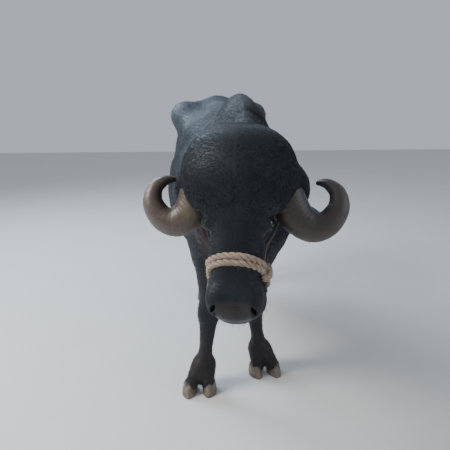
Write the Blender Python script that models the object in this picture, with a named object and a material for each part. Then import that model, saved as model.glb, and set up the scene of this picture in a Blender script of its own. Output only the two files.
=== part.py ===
"""A standing water buffalo cow of the domed-forehead kind, life size, with a rope halter.

She faces -Y with her head low and turned a little to her right. Metres, +Z up, feet on z = 0.
The flesh is one smooth field of lofts, muscles and hollows. Its surface is parted by thin cuts.
"""

import math
from collections import namedtuple

import bmesh
import bpy
import numpy as np
from mathutils import Matrix, Vector

# Driving sizes
WITHERS_Z = 1.400
CROUP_Z = 1.44
LOIN_Z = 1.375
BELLY_Z = 0.55
BARREL_HALF = 0.315
HIP_HALF = 0.216
HEAD_LENGTH = 0.575
POLL = (-0.081, -1.086, 1.289)
HEAD_YAW = 15.0
HEAD_TILT = 12.0
EYE_RADIUS = 0.021
EYE_AT = (0.087, 0.032, 0.270)
EAR_LENGTH = 0.235
ROPE_RADIUS = 0.0105
STRAP_RADIUS = 0.006
CLAW_LENGTH = 0.118
CLAW_HALF_WIDTH = 0.041
GAP = 0.0003
SHARP_ANGLE = 50.0

# Cell sizes of the sampled surfaces, and the triangles that each keeps
BODY_CELL = 0.012
HEAD_CELL = 0.0062
BODY_TRIANGLES = 4500
HEAD_TRIANGLES = 2200

SIDES = (-1, 1)
SIDE_NAMES = {-1: "right", 1: "left"}
FAR = 10.0

# Where each leg's joints stand: (x without its sign, y) from the body down to the hoof
FORE_LEGS = {
    -1: {"elbow": (0.150, -0.420), "knee": (0.136, -0.447),
         "fetlock": (0.163, -0.440), "foot": (0.187, -0.466)},
    1: {"elbow": (0.147, -0.385), "knee": (0.100, -0.345),
        "fetlock": (0.140, -0.312), "foot": (0.166, -0.338)},
}
HIND_LEGS = {
    -1: {"thigh": (0.130, 0.640), "hock": (0.080, 0.775),
         "fetlock": (0.060, 0.742), "foot": (0.054, 0.690)},
    1: {"thigh": (0.145, 0.650), "hock": (0.150, 0.795),
        "fetlock": (0.158, 0.760), "foot": (0.166, 0.708)},
}


# Places and curves

def head_matrix():
    """The head's own frame: +X to her left, +Y out of the face, +Z down the face, from the poll."""
    yaw, tilt = math.radians(HEAD_YAW), math.radians(HEAD_TILT)
    side = Vector((math.cos(yaw), -math.sin(yaw), 0))
    front = Vector((-math.sin(yaw) * math.cos(tilt), -math.cos(yaw) * math.cos(tilt), math.sin(tilt)))
    down = side.cross(front)
    matrix = Matrix((side, front, down)).transposed().to_4x4()
    matrix.translation = POLL
    return matrix


HEAD = head_matrix()


def in_head(side, point):
    """A point of the head's frame on one side, in the world."""
    return HEAD @ Vector((side * point[0], point[1], point[2]))


def to_head(points):
    turn = np.array(HEAD.to_3x3())
    return (points - np.array(HEAD.translation)) @ turn


def smooth_curve(at, knots, values):
    """A cubic through the knots whose slopes come from the neighbouring chords."""
    knots, values = np.asarray(knots, float), np.asarray(values, float)
    slopes = np.gradient(values, knots, axis=0)
    i = np.clip(np.searchsorted(knots, at) - 1, 0, len(knots) - 2)
    span = (knots[i + 1] - knots[i]).reshape(-1, *[1] * (values.ndim - 1))
    t = np.clip((at - knots[i]).reshape(span.shape) / span, 0, 1)
    rise = 3 * t**2 - 2 * t**3
    return (
        values[i] * (1 - rise)
        + values[i + 1] * rise
        + slopes[i] * span * (t - 2 * t**2 + t**3)
        + slopes[i + 1] * span * (t**3 - t**2)
    )


# Forms: each gives a distance that is negative inside. A carved one is taken away.

Form = namedtuple("Form", "frame low high value soft carved")


def loft(frame, axis, across, out, stations, soft):
    """A tube along one axis. A station is its place, the two centre offsets, the half width, the
    halves above and below the centre, and the powers that square or sharpen them."""
    stations = np.array(stations, float)
    first, last = stations[0, 0], stations[-1, 0]
    at = np.linspace(first, last, 240)
    table = smooth_curve(at, stations[:, 0], stations[:, 1:])

    def value(points):
        u = points[:, axis]
        cx, cq, half, above, below, p_above, p_below = (np.interp(u, at, column) for column in table.T)
        p, q = np.abs(points[:, across] - cx), points[:, out] - cq
        upper = q > 0
        power = np.where(upper, p_above, p_below)
        height = np.where(upper, above, below)
        reach = np.hypot(p, q) + 1e-9
        rho = ((p / half) ** power + (np.abs(q) / height) ** power) ** (1 / power) + 1e-9
        side = reach - reach / rho
        end = np.maximum(first - u, u - last)
        return np.minimum(np.maximum(side, end), 0) + np.hypot(np.maximum(side, 0), np.maximum(end, 0))

    low, high = np.zeros(3), np.zeros(3)
    low[axis], high[axis] = first, last
    low[across] = (stations[:, 1] - stations[:, 3]).min()
    high[across] = (stations[:, 1] + stations[:, 3]).max()
    low[out], high[out] = (stations[:, 2] - stations[:, 5]).min(), (stations[:, 2] + stations[:, 4]).max()
    return Form(frame, low, high, value, soft, False)


def bulge(frame, centre, radii, soft, turn=(0, 0, 0), carved=False):
    """An ellipsoid, turned about X, Y and Z in degrees."""
    centre, radii = np.array(centre, float), np.array(radii, float)
    spin = np.array(Matrix.Rotation(math.radians(turn[2]), 3, "Z")
                    @ Matrix.Rotation(math.radians(turn[1]), 3, "Y")
                    @ Matrix.Rotation(math.radians(turn[0]), 3, "X"))

    def value(points):
        local = (points - centre) @ spin
        near = np.linalg.norm(local / radii, axis=1) + 1e-9
        slope = np.linalg.norm(local / radii**2, axis=1) + 1e-9
        return near * (near - 1) / slope

    reach = np.abs(spin) @ radii
    return Form(frame, centre - reach, centre + reach, value, soft, carved)


def rod(frame, start, end, radii, soft, carved=False):
    """A round bar whose radius changes evenly from end to end."""
    start, end = np.array(start, float), np.array(end, float)
    along = end - start

    def value(points):
        t = np.clip((points - start) @ along / (along @ along), 0, 1)
        nearest = start + t[:, None] * along
        return np.linalg.norm(points - nearest, axis=1) - (radii[0] + t * (radii[1] - radii[0]))

    reach = max(radii)
    return Form(frame, np.minimum(start, end) - reach, np.maximum(start, end) + reach, value, soft, carved)


def chain(frame, knots, soft):
    """Round bars end to end through the knots, each a place and a radius, blended as one."""
    bars = [rod(frame, a[:3], b[:3], (a[3], b[3]), soft) for a, b in zip(knots, knots[1:])]

    def value(points):
        return np.min([bar.value(points) for bar in bars], axis=0)

    low, high = np.min([bar.low for bar in bars], axis=0), np.max([bar.high for bar in bars], axis=0)
    return Form(frame, low, high, value, soft, False)


def field(points, forms):
    """Joins or carves the forms in their order, each blended over its own softness."""
    seen = {"body": points, "head": to_head(points)}
    distance = np.full(len(points), FAR)
    for form in forms:
        place = seen[form.frame]
        margin = form.soft + 0.05
        near = np.all((place > form.low - margin) & (place < form.high + margin), axis=1)
        if not near.any():
            continue
        value, held = form.value(place[near]), distance[near]
        if form.carved:
            value = -value
            lap = np.maximum(form.soft - np.abs(value - held), 0) / form.soft
            distance[near] = np.maximum(value, held) + lap**2 * form.soft / 4
        else:
            lap = np.maximum(form.soft - np.abs(value - held), 0) / form.soft
            distance[near] = np.minimum(value, held) - lap**2 * form.soft / 4
    return distance


# The flesh

TRUNK = (
    # y, top, bottom, widest z, half width, power above, power below
    (-0.80, 1.10, 0.86, 0.98, 0.070, 2.0, 2.0),
    (-0.74, 1.22, 0.75, 0.98, 0.130, 1.8, 2.0),
    (-0.62, 1.330, 0.67, 0.98, 0.180, 1.45, 2.0),
    (-0.45, WITHERS_Z - 0.015, 0.625, 0.97, 0.222, 1.32, 2.0),
    (-0.25, WITHERS_Z - 0.030, 0.60, 0.95, 0.272, 1.34, 2.1),
    (0.00, LOIN_Z - 0.005, 0.550, 0.93, BARREL_HALF, 1.55, 2.1),
    (0.20, LOIN_Z - 0.005, BELLY_Z, 0.94, BARREL_HALF, 1.75, 2.1),
    (0.38, LOIN_Z + 0.000, 0.60, 0.99, 0.285, 2.8, 2.0),
    (0.52, LOIN_Z - 0.005, 0.70, 1.04, 0.258, 2.8, 2.0),
    (0.66, LOIN_Z - 0.020, 0.80, 1.08, 0.228, 2.4, 2.0),
    (0.80, 1.320, 0.87, 1.10, 0.182, 2.2, 2.0),
    (0.90, 1.270, 0.95, 1.12, 0.130, 2.0, 2.0),
    (0.955, 1.20, 1.04, 1.12, 0.075, 2.0, 2.0),
)
NECK = (
    # y, x, top, bottom, widest z, half width, power above, power below
    (-0.40, 0.000, 1.385, 0.78, 1.05, 0.180, 1.4, 1.9),
    (-0.55, 0.000, 1.395, 0.75, 1.05, 0.175, 1.4, 1.9),
    (-0.70, -0.008, 1.365, 0.79, 1.06, 0.150, 1.5, 1.8),
    (-0.85, -0.025, 1.312, 0.86, 1.08, 0.132, 1.6, 1.7),
    (-1.00, -0.048, 1.272, 0.93, 1.10, 0.125, 1.7, 1.7),
    (-1.10, -0.066, 1.245, 0.99, 1.12, 0.115, 1.8, 1.8),
)
HEAD_LOFT = (
    # down, centre, half width, front, back, power front, power back
    (-0.012, -0.03, 0.080, 0.050, 0.050, 2.4, 2.0),
    (0.000, -0.03, 0.100, 0.080, 0.066, 2.4, 2.0),
    (0.025, -0.03, 0.128, 0.122, 0.092, 2.4, 2.0),
    (0.055, -0.03, 0.149, 0.150, 0.108, 2.4, 2.0),
    (0.100, -0.03, 0.167, 0.172, 0.118, 2.4, 1.9),
    (0.150, -0.03, 0.175, 0.178, 0.127, 2.4, 1.8),
    (0.190, -0.03, 0.161, 0.164, 0.132, 2.3, 1.7),
    (0.230, -0.03, 0.126, 0.136, 0.135, 2.3, 1.6),
    (0.270, -0.03, 0.095, 0.117, 0.130, 2.4, 1.5),
    (0.320, -0.03, 0.080, 0.108, 0.106, 2.6, 1.6),
    (0.380, -0.03, 0.077, 0.104, 0.078, 2.7, 1.7),
    (0.430, -0.03, 0.081, 0.100, 0.062, 2.7, 1.9),
    (0.480, -0.03, 0.085, 0.098, 0.052, 2.6, 2.1),
    (0.525, -0.03, 0.086, 0.090, 0.047, 2.5, 2.2),
    (0.555, -0.03, 0.070, 0.070, 0.038, 2.3, 2.2),
    (HEAD_LENGTH, -0.03, 0.040, 0.040, 0.020, 2.0, 2.0),
)
FORE_PROFILE = (
    # z, half width, half length
    (0.80, 0.066, 0.115),
    (0.68, 0.060, 0.090),
    (0.58, 0.052, 0.070),
    (0.50, 0.047, 0.057),
    (0.445, 0.049, 0.055),
    (0.40, 0.051, 0.056),
    (0.35, 0.043, 0.047),
    (0.28, 0.036, 0.040),
    (0.20, 0.036, 0.041),
    (0.15, 0.051, 0.053),
    (0.11, 0.053, 0.052),
    (0.085, 0.046, 0.045),
)
HIND_PROFILE = (
    (0.68, 0.062, 0.115),
    (0.60, 0.050, 0.085),
    (0.54, 0.043, 0.066),
    (0.48, 0.043, 0.060),
    (0.42, 0.041, 0.053),
    (0.35, 0.036, 0.045),
    (0.25, 0.034, 0.041),
    (0.18, 0.037, 0.044),
    (0.14, 0.046, 0.050),
    (0.105, 0.047, 0.048),
    (0.085, 0.042, 0.042),
)


SPINE = (
    # x, y, z, radius
    (0, -0.66, WITHERS_Z - 0.085, 0.036),
    (0, -0.52, WITHERS_Z - 0.050, 0.036),
    (0, -0.40, WITHERS_Z - 0.044, 0.036),
    (0, -0.20, WITHERS_Z - 0.060, 0.034),
    (0, 0.05, LOIN_Z - 0.034, 0.032),
    (0, 0.25, LOIN_Z - 0.024, 0.032),
    (0, 0.36, CROUP_Z - 0.080, 0.034),
    (0, 0.47, CROUP_Z - 0.060, 0.034),
    (0, 0.60, CROUP_Z - 0.072, 0.034),
    (0, 0.74, 1.332, 0.034),
    (0, 0.88, 1.292, 0.032),
)


def trunk_forms():
    """The barrel, breast, back line, hips and rump."""
    rows = [(y, 0, mid, half, top - mid, mid - bottom, up, down)
            for y, top, bottom, mid, half, up, down in TRUNK]
    forms = [
        loft("body", 1, 0, 2, rows, 0.05),
        chain("body", SPINE, 0.08),
        bulge("body", (0, -0.64, 0.76), (0.085, 0.13, 0.11), 0.08),
    ]
    for side in SIDES:
        hook = (side * HIP_HALF, 0.435, 1.326)
        pin = (side * 0.098, 0.915, 1.190)
        across_hip = (0, 0.47, 1.345, 0.050)
        loin_edge = (side * 0.150, 0.0, 1.225, 0.020)
        forms += [
            bulge("body", (side * 0.122, -0.46, 1.06), (0.060, 0.125, 0.210), 0.09, (-14, -9 * side, 0)),
            bulge("body", (side * 0.142, -0.655, 0.935), (0.064, 0.085, 0.10), 0.07),
            bulge("body", (side * 0.148, -0.45, 0.84), (0.070, 0.150, 0.13), 0.07),
            chain("body", (across_hip, (side * 0.12, 0.462, 1.350, 0.046), (*hook, 0.038)), 0.11),
            chain("body", ((*hook, 0.034), (side * 0.168, 0.68, 1.250, 0.034), (*pin, 0.038)), 0.10),
            chain("body", ((*hook, 0.034), (side * 0.180, 0.24, 1.252, 0.028), loin_edge), 0.11),
            bulge("body", (side * 0.150, 0.60, 1.00), (0.100, 0.200, 0.24), 0.08, (12, 0, 0)),
            bulge("body", (side * 0.110, 0.79, 0.98), (0.082, 0.115, 0.23), 0.07, (-6, 0, 0)),
            bulge("body", (side * 0.128, 0.700, 0.750), (0.062, 0.130, 0.170), 0.06),
            bulge("body", (side * 0.312, 0.290, 1.190), (0.045, 0.075, 0.080), 0.09, carved=True),
        ]
    return forms


def neck_forms():
    """The neck, with its crest, the muscle on its sides and the windpipe below."""
    rows = [(y, x, mid, half, top - mid, mid - bottom, up, down)
            for y, x, top, bottom, mid, half, up, down in reversed(NECK)]
    forms = [loft("body", 1, 0, 2, rows, 0.09)]
    for side in SIDES:
        ends = (side * 0.10, -0.62, 1.02), (side * 0.075 - 0.05, -1.02, 1.10)
        forms.append(rod("body", *ends, (0.065, 0.060), 0.06))
    forms.append(rod("body", (-0.045, -0.98, 1.02), (0, -0.72, 0.86), (0.055, 0.060), 0.08))
    return forms


def limb(side, joints, heights, profile, soft):
    """A leg's loft down its joints, with the pastern's two digits that end in the claws."""
    rows = []
    zs = np.array(heights[::-1])
    places = np.array([joints[name] for name in reversed(list(joints))])
    for z, half, length in reversed(profile):
        x, y = smooth_curve(np.array([z]), zs, places)[0]
        rows.append((z, side * x, y, half, length, length, 2.2, 2.2))
    forms = [loft("body", 2, 0, 1, rows, soft)]
    x, y = joints["foot"]
    top_x, top_y = joints["fetlock"]
    for digit in SIDES:
        start = (side * top_x + digit * 0.022, top_y, 0.135)
        end = (side * x + digit * 0.039, y - 0.004, 0.052)
        forms.append(rod("body", start, end, (0.039, 0.034), 0.022))
    return forms


def leg_forms():
    """All four legs, with the knees, hocks and the muscle that ties them to the trunk."""
    forms = []
    for side in SIDES:
        fore, hind = FORE_LEGS[side], HIND_LEGS[side]
        forms += limb(side, fore, (0.78, 0.43, 0.14, 0.0), FORE_PROFILE, 0.07)
        knee_x, knee_y = fore["knee"]
        elbow_x, elbow_y = fore["elbow"]
        forms += [
            bulge("body", (side * knee_x, knee_y - 0.018, 0.425), (0.046, 0.040, 0.055), 0.03),
            rod("body", (side * elbow_x, elbow_y + 0.055, 0.775), (side * elbow_x, elbow_y + 0.030, 0.68),
                (0.045, 0.040), 0.06),
        ]
        forms += limb(side, hind, (0.78, 0.48, 0.14, 0.0), HIND_PROFILE, 0.07)
        hock_x, hock_y = hind["hock"]
        thigh_x, thigh_y = hind["thigh"]
        forms += [
            rod("body", (side * 0.172, 0.475, 0.80), (side * (hock_x + 0.01), hock_y - 0.045, 0.555),
                (0.088, 0.044), 0.06),
            rod("body", (side * hock_x, hock_y + 0.052, 0.535),
                (side * (thigh_x - 0.01), thigh_y + 0.175, 0.80), (0.018, 0.040), 0.035),
            bulge("body", (side * hock_x, hock_y + 0.048, 0.525), (0.026, 0.024, 0.032), 0.025),
            bulge("body", (side * 0.185, 0.445, 0.775), (0.060, 0.070, 0.095), 0.08),
        ]
    return forms


def head_forms():
    """The domed forehead, brows, cheeks, jaw, muzzle and lips."""
    rows = [(down, 0, centre, half, front, back, p_front, p_back)
            for down, centre, half, front, back, p_front, p_back in HEAD_LOFT]
    forms = [loft("head", 2, 0, 1, rows, 0.06)]
    forms += [
        bulge("head", (0, 0.030, 0.105), (0.150, 0.106, 0.108), 0.05),
        bulge("head", (0, -0.088, 0.512), (0.046, 0.028, 0.040), 0.025),
        bulge("head", (0, 0.026, 0.532), (0.058, 0.034, 0.034), 0.020),
    ]
    for side in SIDES:
        eye_x, eye_y, eye_z = EYE_AT
        forms += [
            bulge("head", (side * 0.092, 0.050, 0.184), (0.054, 0.066, 0.066), 0.030),
            bulge("head", (side * 0.149, -0.052, 0.168), (0.060, 0.054, 0.070), 0.040),
            bulge("head", (side * (eye_x - 0.008), eye_y - 0.006, eye_z - 0.012),
                  (0.034, 0.036, 0.038), 0.022),
            rod("head", (side * 0.070, 0.010, 0.300), (side * 0.053, 0.018, 0.390), (0.024, 0.020), 0.025),
            bulge("head", (side * 0.068, -0.085, 0.255), (0.037, 0.066, 0.092), 0.035),
            rod("head", (side * 0.048, -0.135, 0.255), (side * 0.034, -0.088, 0.440), (0.030, 0.022), 0.030),
            bulge("head", (side * 0.056, 0.040, 0.492), (0.030, 0.028, 0.038), 0.025),
            bulge("head", (side * 0.062, -0.014, 0.500), (0.028, 0.038, 0.044), 0.020),
            bulge("head", (side * 0.118, 0.030, 0.305), (0.030, 0.050, 0.050), 0.030, carved=True),
            bulge("head", (side * 0.059, 0.055, 0.519), (0.009, 0.013, 0.018), 0.010,
                  (20, side * 38, 0), True),
        ]
    return forms


def flesh_forms():
    return trunk_forms() + neck_forms() + leg_forms() + head_forms()


# Sampled surfaces

CORNERS = np.array([(i, j, k) for i in (0, 1) for j in (0, 1) for k in (0, 1)])
EDGES = [(a, b) for a in range(8) for b in range(a + 1, 8) if np.abs(CORNERS[a] - CORNERS[b]).sum() == 1]


def grid_points(axes, picked=None):
    if picked is None:
        return np.stack(np.meshgrid(*axes, indexing="ij"), -1).reshape(-1, 3)
    return np.stack([axis[i] for axis, i in zip(axes, picked)], -1)


def sampled(low, high, cell, forms, coarse=4):
    """The field's values on a grid. Only cells near the surface are sampled finely."""
    low, high = np.array(low, float), np.array(high, float)
    blocks = np.ceil((high - low) / (cell * coarse)).astype(int)
    rough_axes = [low[i] + cell * coarse * np.arange(blocks[i] + 1) for i in range(3)]
    rough = field(grid_points(rough_axes), forms).reshape(blocks + 1)
    inside = rough < 0
    lowest, highest = inside[:-1, :-1, :-1].copy(), inside[:-1, :-1, :-1].copy()
    for i, j, k in CORNERS:
        part = inside[i:blocks[0] + i, j:blocks[1] + j, k:blocks[2] + k]
        lowest &= part
        highest |= part
    mixed = highest & ~lowest
    grown = mixed.copy()
    for axis in range(3):
        for step in (-1, 1):
            grown |= np.roll(grown, step, axis)
    axes = [low[i] + cell * np.arange(blocks[i] * coarse + 1) for i in range(3)]
    values = np.where(lowest, -FAR, FAR)
    for axis in range(3):
        values = np.repeat(values, coarse, axis)
        grown = np.repeat(grown, coarse, axis)
    values = np.pad(values, ((0, 1),) * 3, mode="edge")
    wanted = np.pad(grown, ((0, 1),) * 3, mode="edge")
    for axis in range(3):
        wanted |= np.roll(wanted, 1, axis)
    picked = np.nonzero(wanted)
    values[picked] = field(grid_points(axes, picked), forms)
    for axis in range(3):
        ends = [slice(None)] * 3
        for end in (0, -1):
            ends[axis] = end
            values[tuple(ends)] = cell / 2
    return low, cell, values


def netted(low, cell, values):
    """Points and quads of the zero surface: one point in each cell that the surface crosses."""
    inside = values < 0
    shape = np.array(values.shape) - 1
    count = np.zeros(shape, int)
    for i, j, k in CORNERS:
        count += inside[i:shape[0] + i, j:shape[1] + j, k:shape[2] + k]
    cells = np.array(np.nonzero((count > 0) & (count < 8)))
    corner = np.stack([values[tuple(cells + offset[:, None])] for offset in CORNERS])
    total, hits = np.zeros((cells.shape[1], 3)), np.zeros(cells.shape[1])
    for a, b in EDGES:
        crossed = (corner[a] < 0) != (corner[b] < 0)
        t = corner[a] / np.where(crossed, corner[a] - corner[b], 1)
        total += np.where(crossed[:, None], CORNERS[a] + t[:, None] * (CORNERS[b] - CORNERS[a]), 0)
        hits += crossed
    points = low + cell * (cells.T + total / hits[:, None])
    number = np.full(shape, -1)
    number[tuple(cells)] = np.arange(cells.shape[1])
    quads = []
    for axis in range(3):
        u, v = (axis + 1) % 3, (axis + 2) % 3
        here = [slice(1, -1)] * 3
        here[axis] = slice(0, -1)
        there = list(here)
        there[axis] = slice(1, None)
        first, second = inside[tuple(here)], inside[tuple(there)]
        spots = np.array(np.nonzero(first != second))
        leaving = first[tuple(spots)]
        spots[u] += 1
        spots[v] += 1
        ring = []
        for du, dv in ((-1, -1), (0, -1), (0, 0), (-1, 0)):
            place = spots.copy()
            place[u] += du
            place[v] += dv
            ring.append(number[tuple(place)])
        ring = np.stack(ring, 1)
        quads.append(np.where(leaving[:, None], ring, ring[:, ::-1]))
    return points, np.concatenate(quads)


# Objects and mesh tools

def clear_scene():
    for obj in list(bpy.data.objects):
        bpy.data.objects.remove(obj, do_unlink=True)


def material(name, colour, roughness, metallic=0.0):
    made = bpy.data.materials.new(name)
    made.use_nodes = True
    shader = made.node_tree.nodes["Principled BSDF"]
    shader.inputs["Base Color"].default_value = (*colour, 1)
    shader.inputs["Roughness"].default_value = roughness
    shader.inputs["Metallic"].default_value = metallic
    made.diffuse_color = (*colour, 1)
    return made


def new_object(name, mesh, paint=None):
    obj = bpy.data.objects.new(name, mesh)
    bpy.context.scene.collection.objects.link(obj)
    if paint:
        mesh.materials.clear()
        mesh.materials.append(paint)
    return obj


def mesh_from(name, points, faces):
    mesh = bpy.data.meshes.new(name)
    mesh.from_pydata([tuple(p) for p in points], [], [tuple(int(i) for i in face) for face in faces])
    mesh.update()
    return mesh


def applied(obj):
    """Bakes the modifiers into the object's own mesh."""
    bpy.context.view_layer.update()
    graph = bpy.context.evaluated_depsgraph_get()
    mesh = bpy.data.meshes.new_from_object(obj.evaluated_get(graph))
    obj.modifiers.clear()
    old, obj.data = obj.data, mesh
    bpy.data.meshes.remove(old)
    return obj


def remove(objects):
    for obj in objects:
        bpy.data.objects.remove(obj, do_unlink=True)


def combine(obj, others, operation):
    """One Boolean with each of the others, which are then removed."""
    for other in others:
        step = obj.modifiers.new(operation.title(), "BOOLEAN")
        step.operation = operation
        step.object = other
        step.solver = "EXACT"
        applied(obj)
    remove(others)
    return keep_largest(obj)


def keep_largest(obj):
    """Drops every closed surface but the largest."""
    mesh = bmesh.new()
    mesh.from_mesh(obj.data)
    mesh.verts.ensure_lookup_table()
    unseen, shells = set(mesh.verts), []
    while unseen:
        shell, front = set(), [unseen.pop()]
        while front:
            vert = front.pop()
            shell.add(vert)
            linked = [edge.other_vert(vert) for edge in vert.link_edges]
            fresh = [other for other in linked if other in unseen]
            unseen.difference_update(fresh)
            front.extend(fresh)
        shells.append(shell)
    if len(shells) > 1:
        largest = max(shells, key=len)
        bmesh.ops.delete(mesh, geom=[v for v in mesh.verts if v not in largest], context="VERTS")
        mesh.to_mesh(obj.data)
    mesh.free()
    return obj


def skin(name, low, high, cell, triangles, forms, paint):
    """A piece of the flesh's surface, thinned to the triangles it may keep."""
    points, quads = netted(*sampled(low, high, cell, forms))
    obj = new_object(name, mesh_from(name, points, quads), paint)
    thin = obj.modifiers.new("Thin", "DECIMATE")
    thin.ratio = triangles / (2 * len(quads))
    return keep_largest(applied(obj))


def sliced(obj, point, normal):
    """Keeps the side that the normal points away from, and closes the cut."""
    mesh = bmesh.new()
    mesh.from_mesh(obj.data)
    geometry = mesh.verts[:] + mesh.edges[:] + mesh.faces[:]
    bmesh.ops.bisect_plane(mesh, geom=geometry, plane_co=point, plane_no=normal, clear_outer=True,
                           dist=1e-6)
    bmesh.ops.holes_fill(mesh, edges=[edge for edge in mesh.edges if edge.is_boundary])
    bmesh.ops.triangulate(mesh, faces=[face for face in mesh.faces if len(face.verts) > 4])
    bmesh.ops.recalc_face_normals(mesh, faces=mesh.faces)
    mesh.to_mesh(obj.data)
    mesh.free()
    return keep_largest(obj)


def copy_of(obj, name):
    return new_object(name, obj.data.copy())


def block(planes, size=2.4):
    """A large box cut down to what lies behind every plane."""
    mesh = bmesh.new()
    bmesh.ops.create_cube(mesh, size=size)
    data = bpy.data.meshes.new("block")
    mesh.to_mesh(data)
    mesh.free()
    obj = new_object("block", data)
    for point, normal in planes:
        sliced(obj, point, normal)
    return obj


def ring_loft(rings, cap_ends=True):
    """Faces between equal rings of points, with an n-gon at each end."""
    count = len(rings[0])
    points = [tuple(point) for ring in rings for point in ring]
    faces = []
    for i in range(len(rings) - 1):
        for j in range(count):
            a, b = i * count + j, i * count + (j + 1) % count
            faces.append((a, b, b + count, a + count))
    if cap_ends:
        faces.append(tuple(reversed(range(count))))
        faces.append(tuple(range((len(rings) - 1) * count, len(rings) * count)))
    return points, faces


def looped(rings):
    """Faces between equal rings that run round in a closed loop."""
    count, total = len(rings[0]), len(rings)
    points = [tuple(point) for ring in rings for point in ring]
    faces = []
    for i in range(total):
        for j in range(count):
            k = (i + 1) % total
            after = (j + 1) % count
            faces.append((i * count + j, i * count + after, k * count + after, k * count + j))
    return points, faces


def solid(name, points, faces, paint=None):
    """A closed mesh with triangles and outward faces."""
    mesh = bmesh.new()
    verts = [mesh.verts.new(point) for point in points]
    for face in faces:
        mesh.faces.new([verts[i] for i in face])
    bmesh.ops.triangulate(mesh, faces=mesh.faces)
    bmesh.ops.recalc_face_normals(mesh, faces=mesh.faces)
    data = bpy.data.meshes.new(name)
    mesh.to_mesh(data)
    mesh.free()
    return new_object(name, data, paint)


def frames_along(path, closed=False):
    """Tangent, normal and binormal at each point of a path, turned as little as possible."""
    path = np.asarray(path, float)
    if closed:
        tangents = np.roll(path, -1, 0) - np.roll(path, 1, 0)
    else:
        tangents = np.gradient(path, axis=0)
    tangents /= np.linalg.norm(tangents, axis=1)[:, None]
    normal = np.cross(tangents[0], (0.0, 0.0, 1.0))
    if np.linalg.norm(normal) < 0.1:
        normal = np.cross(tangents[0], (1.0, 0.0, 0.0))
    normals = []
    for tangent in tangents:
        normal = normal - tangent * (normal @ tangent)
        normal = normal / np.linalg.norm(normal)
        normals.append(normal)
    normals = np.array(normals)
    return tangents, normals, np.cross(tangents, normals)


# Horns, ears and eyes, in the head's frame

HORN_PATH = (
    # side, front, down, half breadth, half thickness
    (0.095, -0.014, 0.150, 0.051, 0.044),
    (0.130, -0.014, 0.180, 0.053, 0.045),
    (0.146, -0.018, 0.219, 0.053, 0.044),
    (0.170, -0.021, 0.256, 0.050, 0.041),
    (0.211, -0.024, 0.278, 0.046, 0.037),
    (0.254, -0.022, 0.263, 0.039, 0.032),
    (0.281, -0.022, 0.220, 0.032, 0.027),
    (0.278, -0.028, 0.178, 0.025, 0.022),
    (0.255, -0.038, 0.153, 0.018, 0.017),
    (0.232, -0.050, 0.145, 0.012, 0.011),
    (0.216, -0.062, 0.147, 0.006, 0.006),
)
HORN_LEAN = 0.010
HORN_STATIONS = 24
HORN_SIDES = 12
GROWTH_RINGS = 12


def stretched(points, tangents, grow):
    """The same path, longer by the growth at both ends."""
    points = np.array(points)
    points[0] -= tangents[0] * grow
    points[-1] += tangents[-1] * grow
    return points


def horn_rings(side, grow=0.0):
    """Oval sections along the horn's hook, with its growth rings as low steps."""
    table = np.array(HORN_PATH)
    at = np.linspace(0, 1, len(table))
    rows = smooth_curve(np.linspace(0, 1, HORN_STATIONS), at, table)
    tangents, normals, binormals = frames_along(rows[:, :3])
    centres = stretched(rows[:, :3], tangents, grow)
    rings = []
    for i, (centre, normal, binormal) in enumerate(zip(centres, normals, binormals)):
        t = i / (HORN_STATIONS - 1)
        step = 1 + 0.022 * math.sin(2 * math.pi * GROWTH_RINGS * t) * (1 - t)
        broad, thick = rows[i, 3] * step + grow, rows[i, 4] * step + grow
        lean = HORN_LEAN * side * min(1.0, 3 * t)
        ring = []
        for j in range(HORN_SIDES):
            angle = 2 * math.pi * j / HORN_SIDES
            point = centre + math.cos(angle) * thick * normal + math.sin(angle) * broad * binormal
            ring.append(in_head(side, (point[0] + lean, point[1], point[2])))
        rings.append(ring)
    return rings


def horn(side, paint=None, grow=0.0):
    return solid(f"horn_{SIDE_NAMES[side]}", *ring_loft(horn_rings(side, grow)), paint)


EAR_ROOT = (0.112, -0.118, 0.214)
EAR_HEADING = (0.78, -0.58, 0.33)
EAR_OPENS = (0.15, 0.35, 0.92)
EAR_PROFILE = (
    # share of the length, half width, depth of the cup, hollow (-1 is a full stalk)
    (-0.20, 0.021, 0.95, -1.0),
    (0.00, 0.024, 0.95, -1.0),
    (0.10, 0.029, 0.90, -0.6),
    (0.20, 0.037, 0.82, 0.2),
    (0.34, 0.048, 0.72, 0.80),
    (0.54, 0.055, 0.60, 0.90),
    (0.75, 0.045, 0.50, 0.90),
    (0.91, 0.026, 0.40, 0.85),
    (1.00, 0.008, 0.30, 0.60),
)
EAR_THICKNESS = 0.0055
EAR_SOCKET = 0.40


def ear_rings(side, socket=False):
    """Sections of the ear, a stalk that opens into a cupped leaf, or of the socket that clears it."""
    root = Vector(EAR_ROOT)
    heading = Vector(EAR_HEADING).normalized()
    opens = Vector(EAR_OPENS)
    opens = (opens - heading * opens.dot(heading)).normalized()
    wide = heading.cross(opens)
    knots = [row[0] for row in EAR_PROFILE]
    shares = np.linspace(knots[0] - 0.01, EAR_SOCKET, 7) if socket else np.linspace(knots[0], 1.0, 13)
    rows = smooth_curve(np.clip(shares, knots[0], 1.0), knots, [row[1:] for row in EAR_PROFILE])
    rings = []
    for share, (width, cup, hollow) in zip(shares, rows):
        centre = root + heading * (share * EAR_LENGTH) + Vector((0, 0, 0.015)) * share**2
        outer = width + GAP if socket else width
        inner = outer - EAR_THICKNESS
        hollow = -1.1 if socket else hollow
        ring = []
        for reach, bend, steps in ((outer, 1.0, range(7)), (inner, hollow, range(5, 0, -1))):
            for step in steps:
                angle = math.pi * (1 - step / 6)
                behind = math.sin(angle) * reach * cup * bend
                point = centre + wide * (math.cos(angle) * reach) - opens * behind
                ring.append(in_head(side, point))
        rings.append(ring)
    return rings


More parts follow.
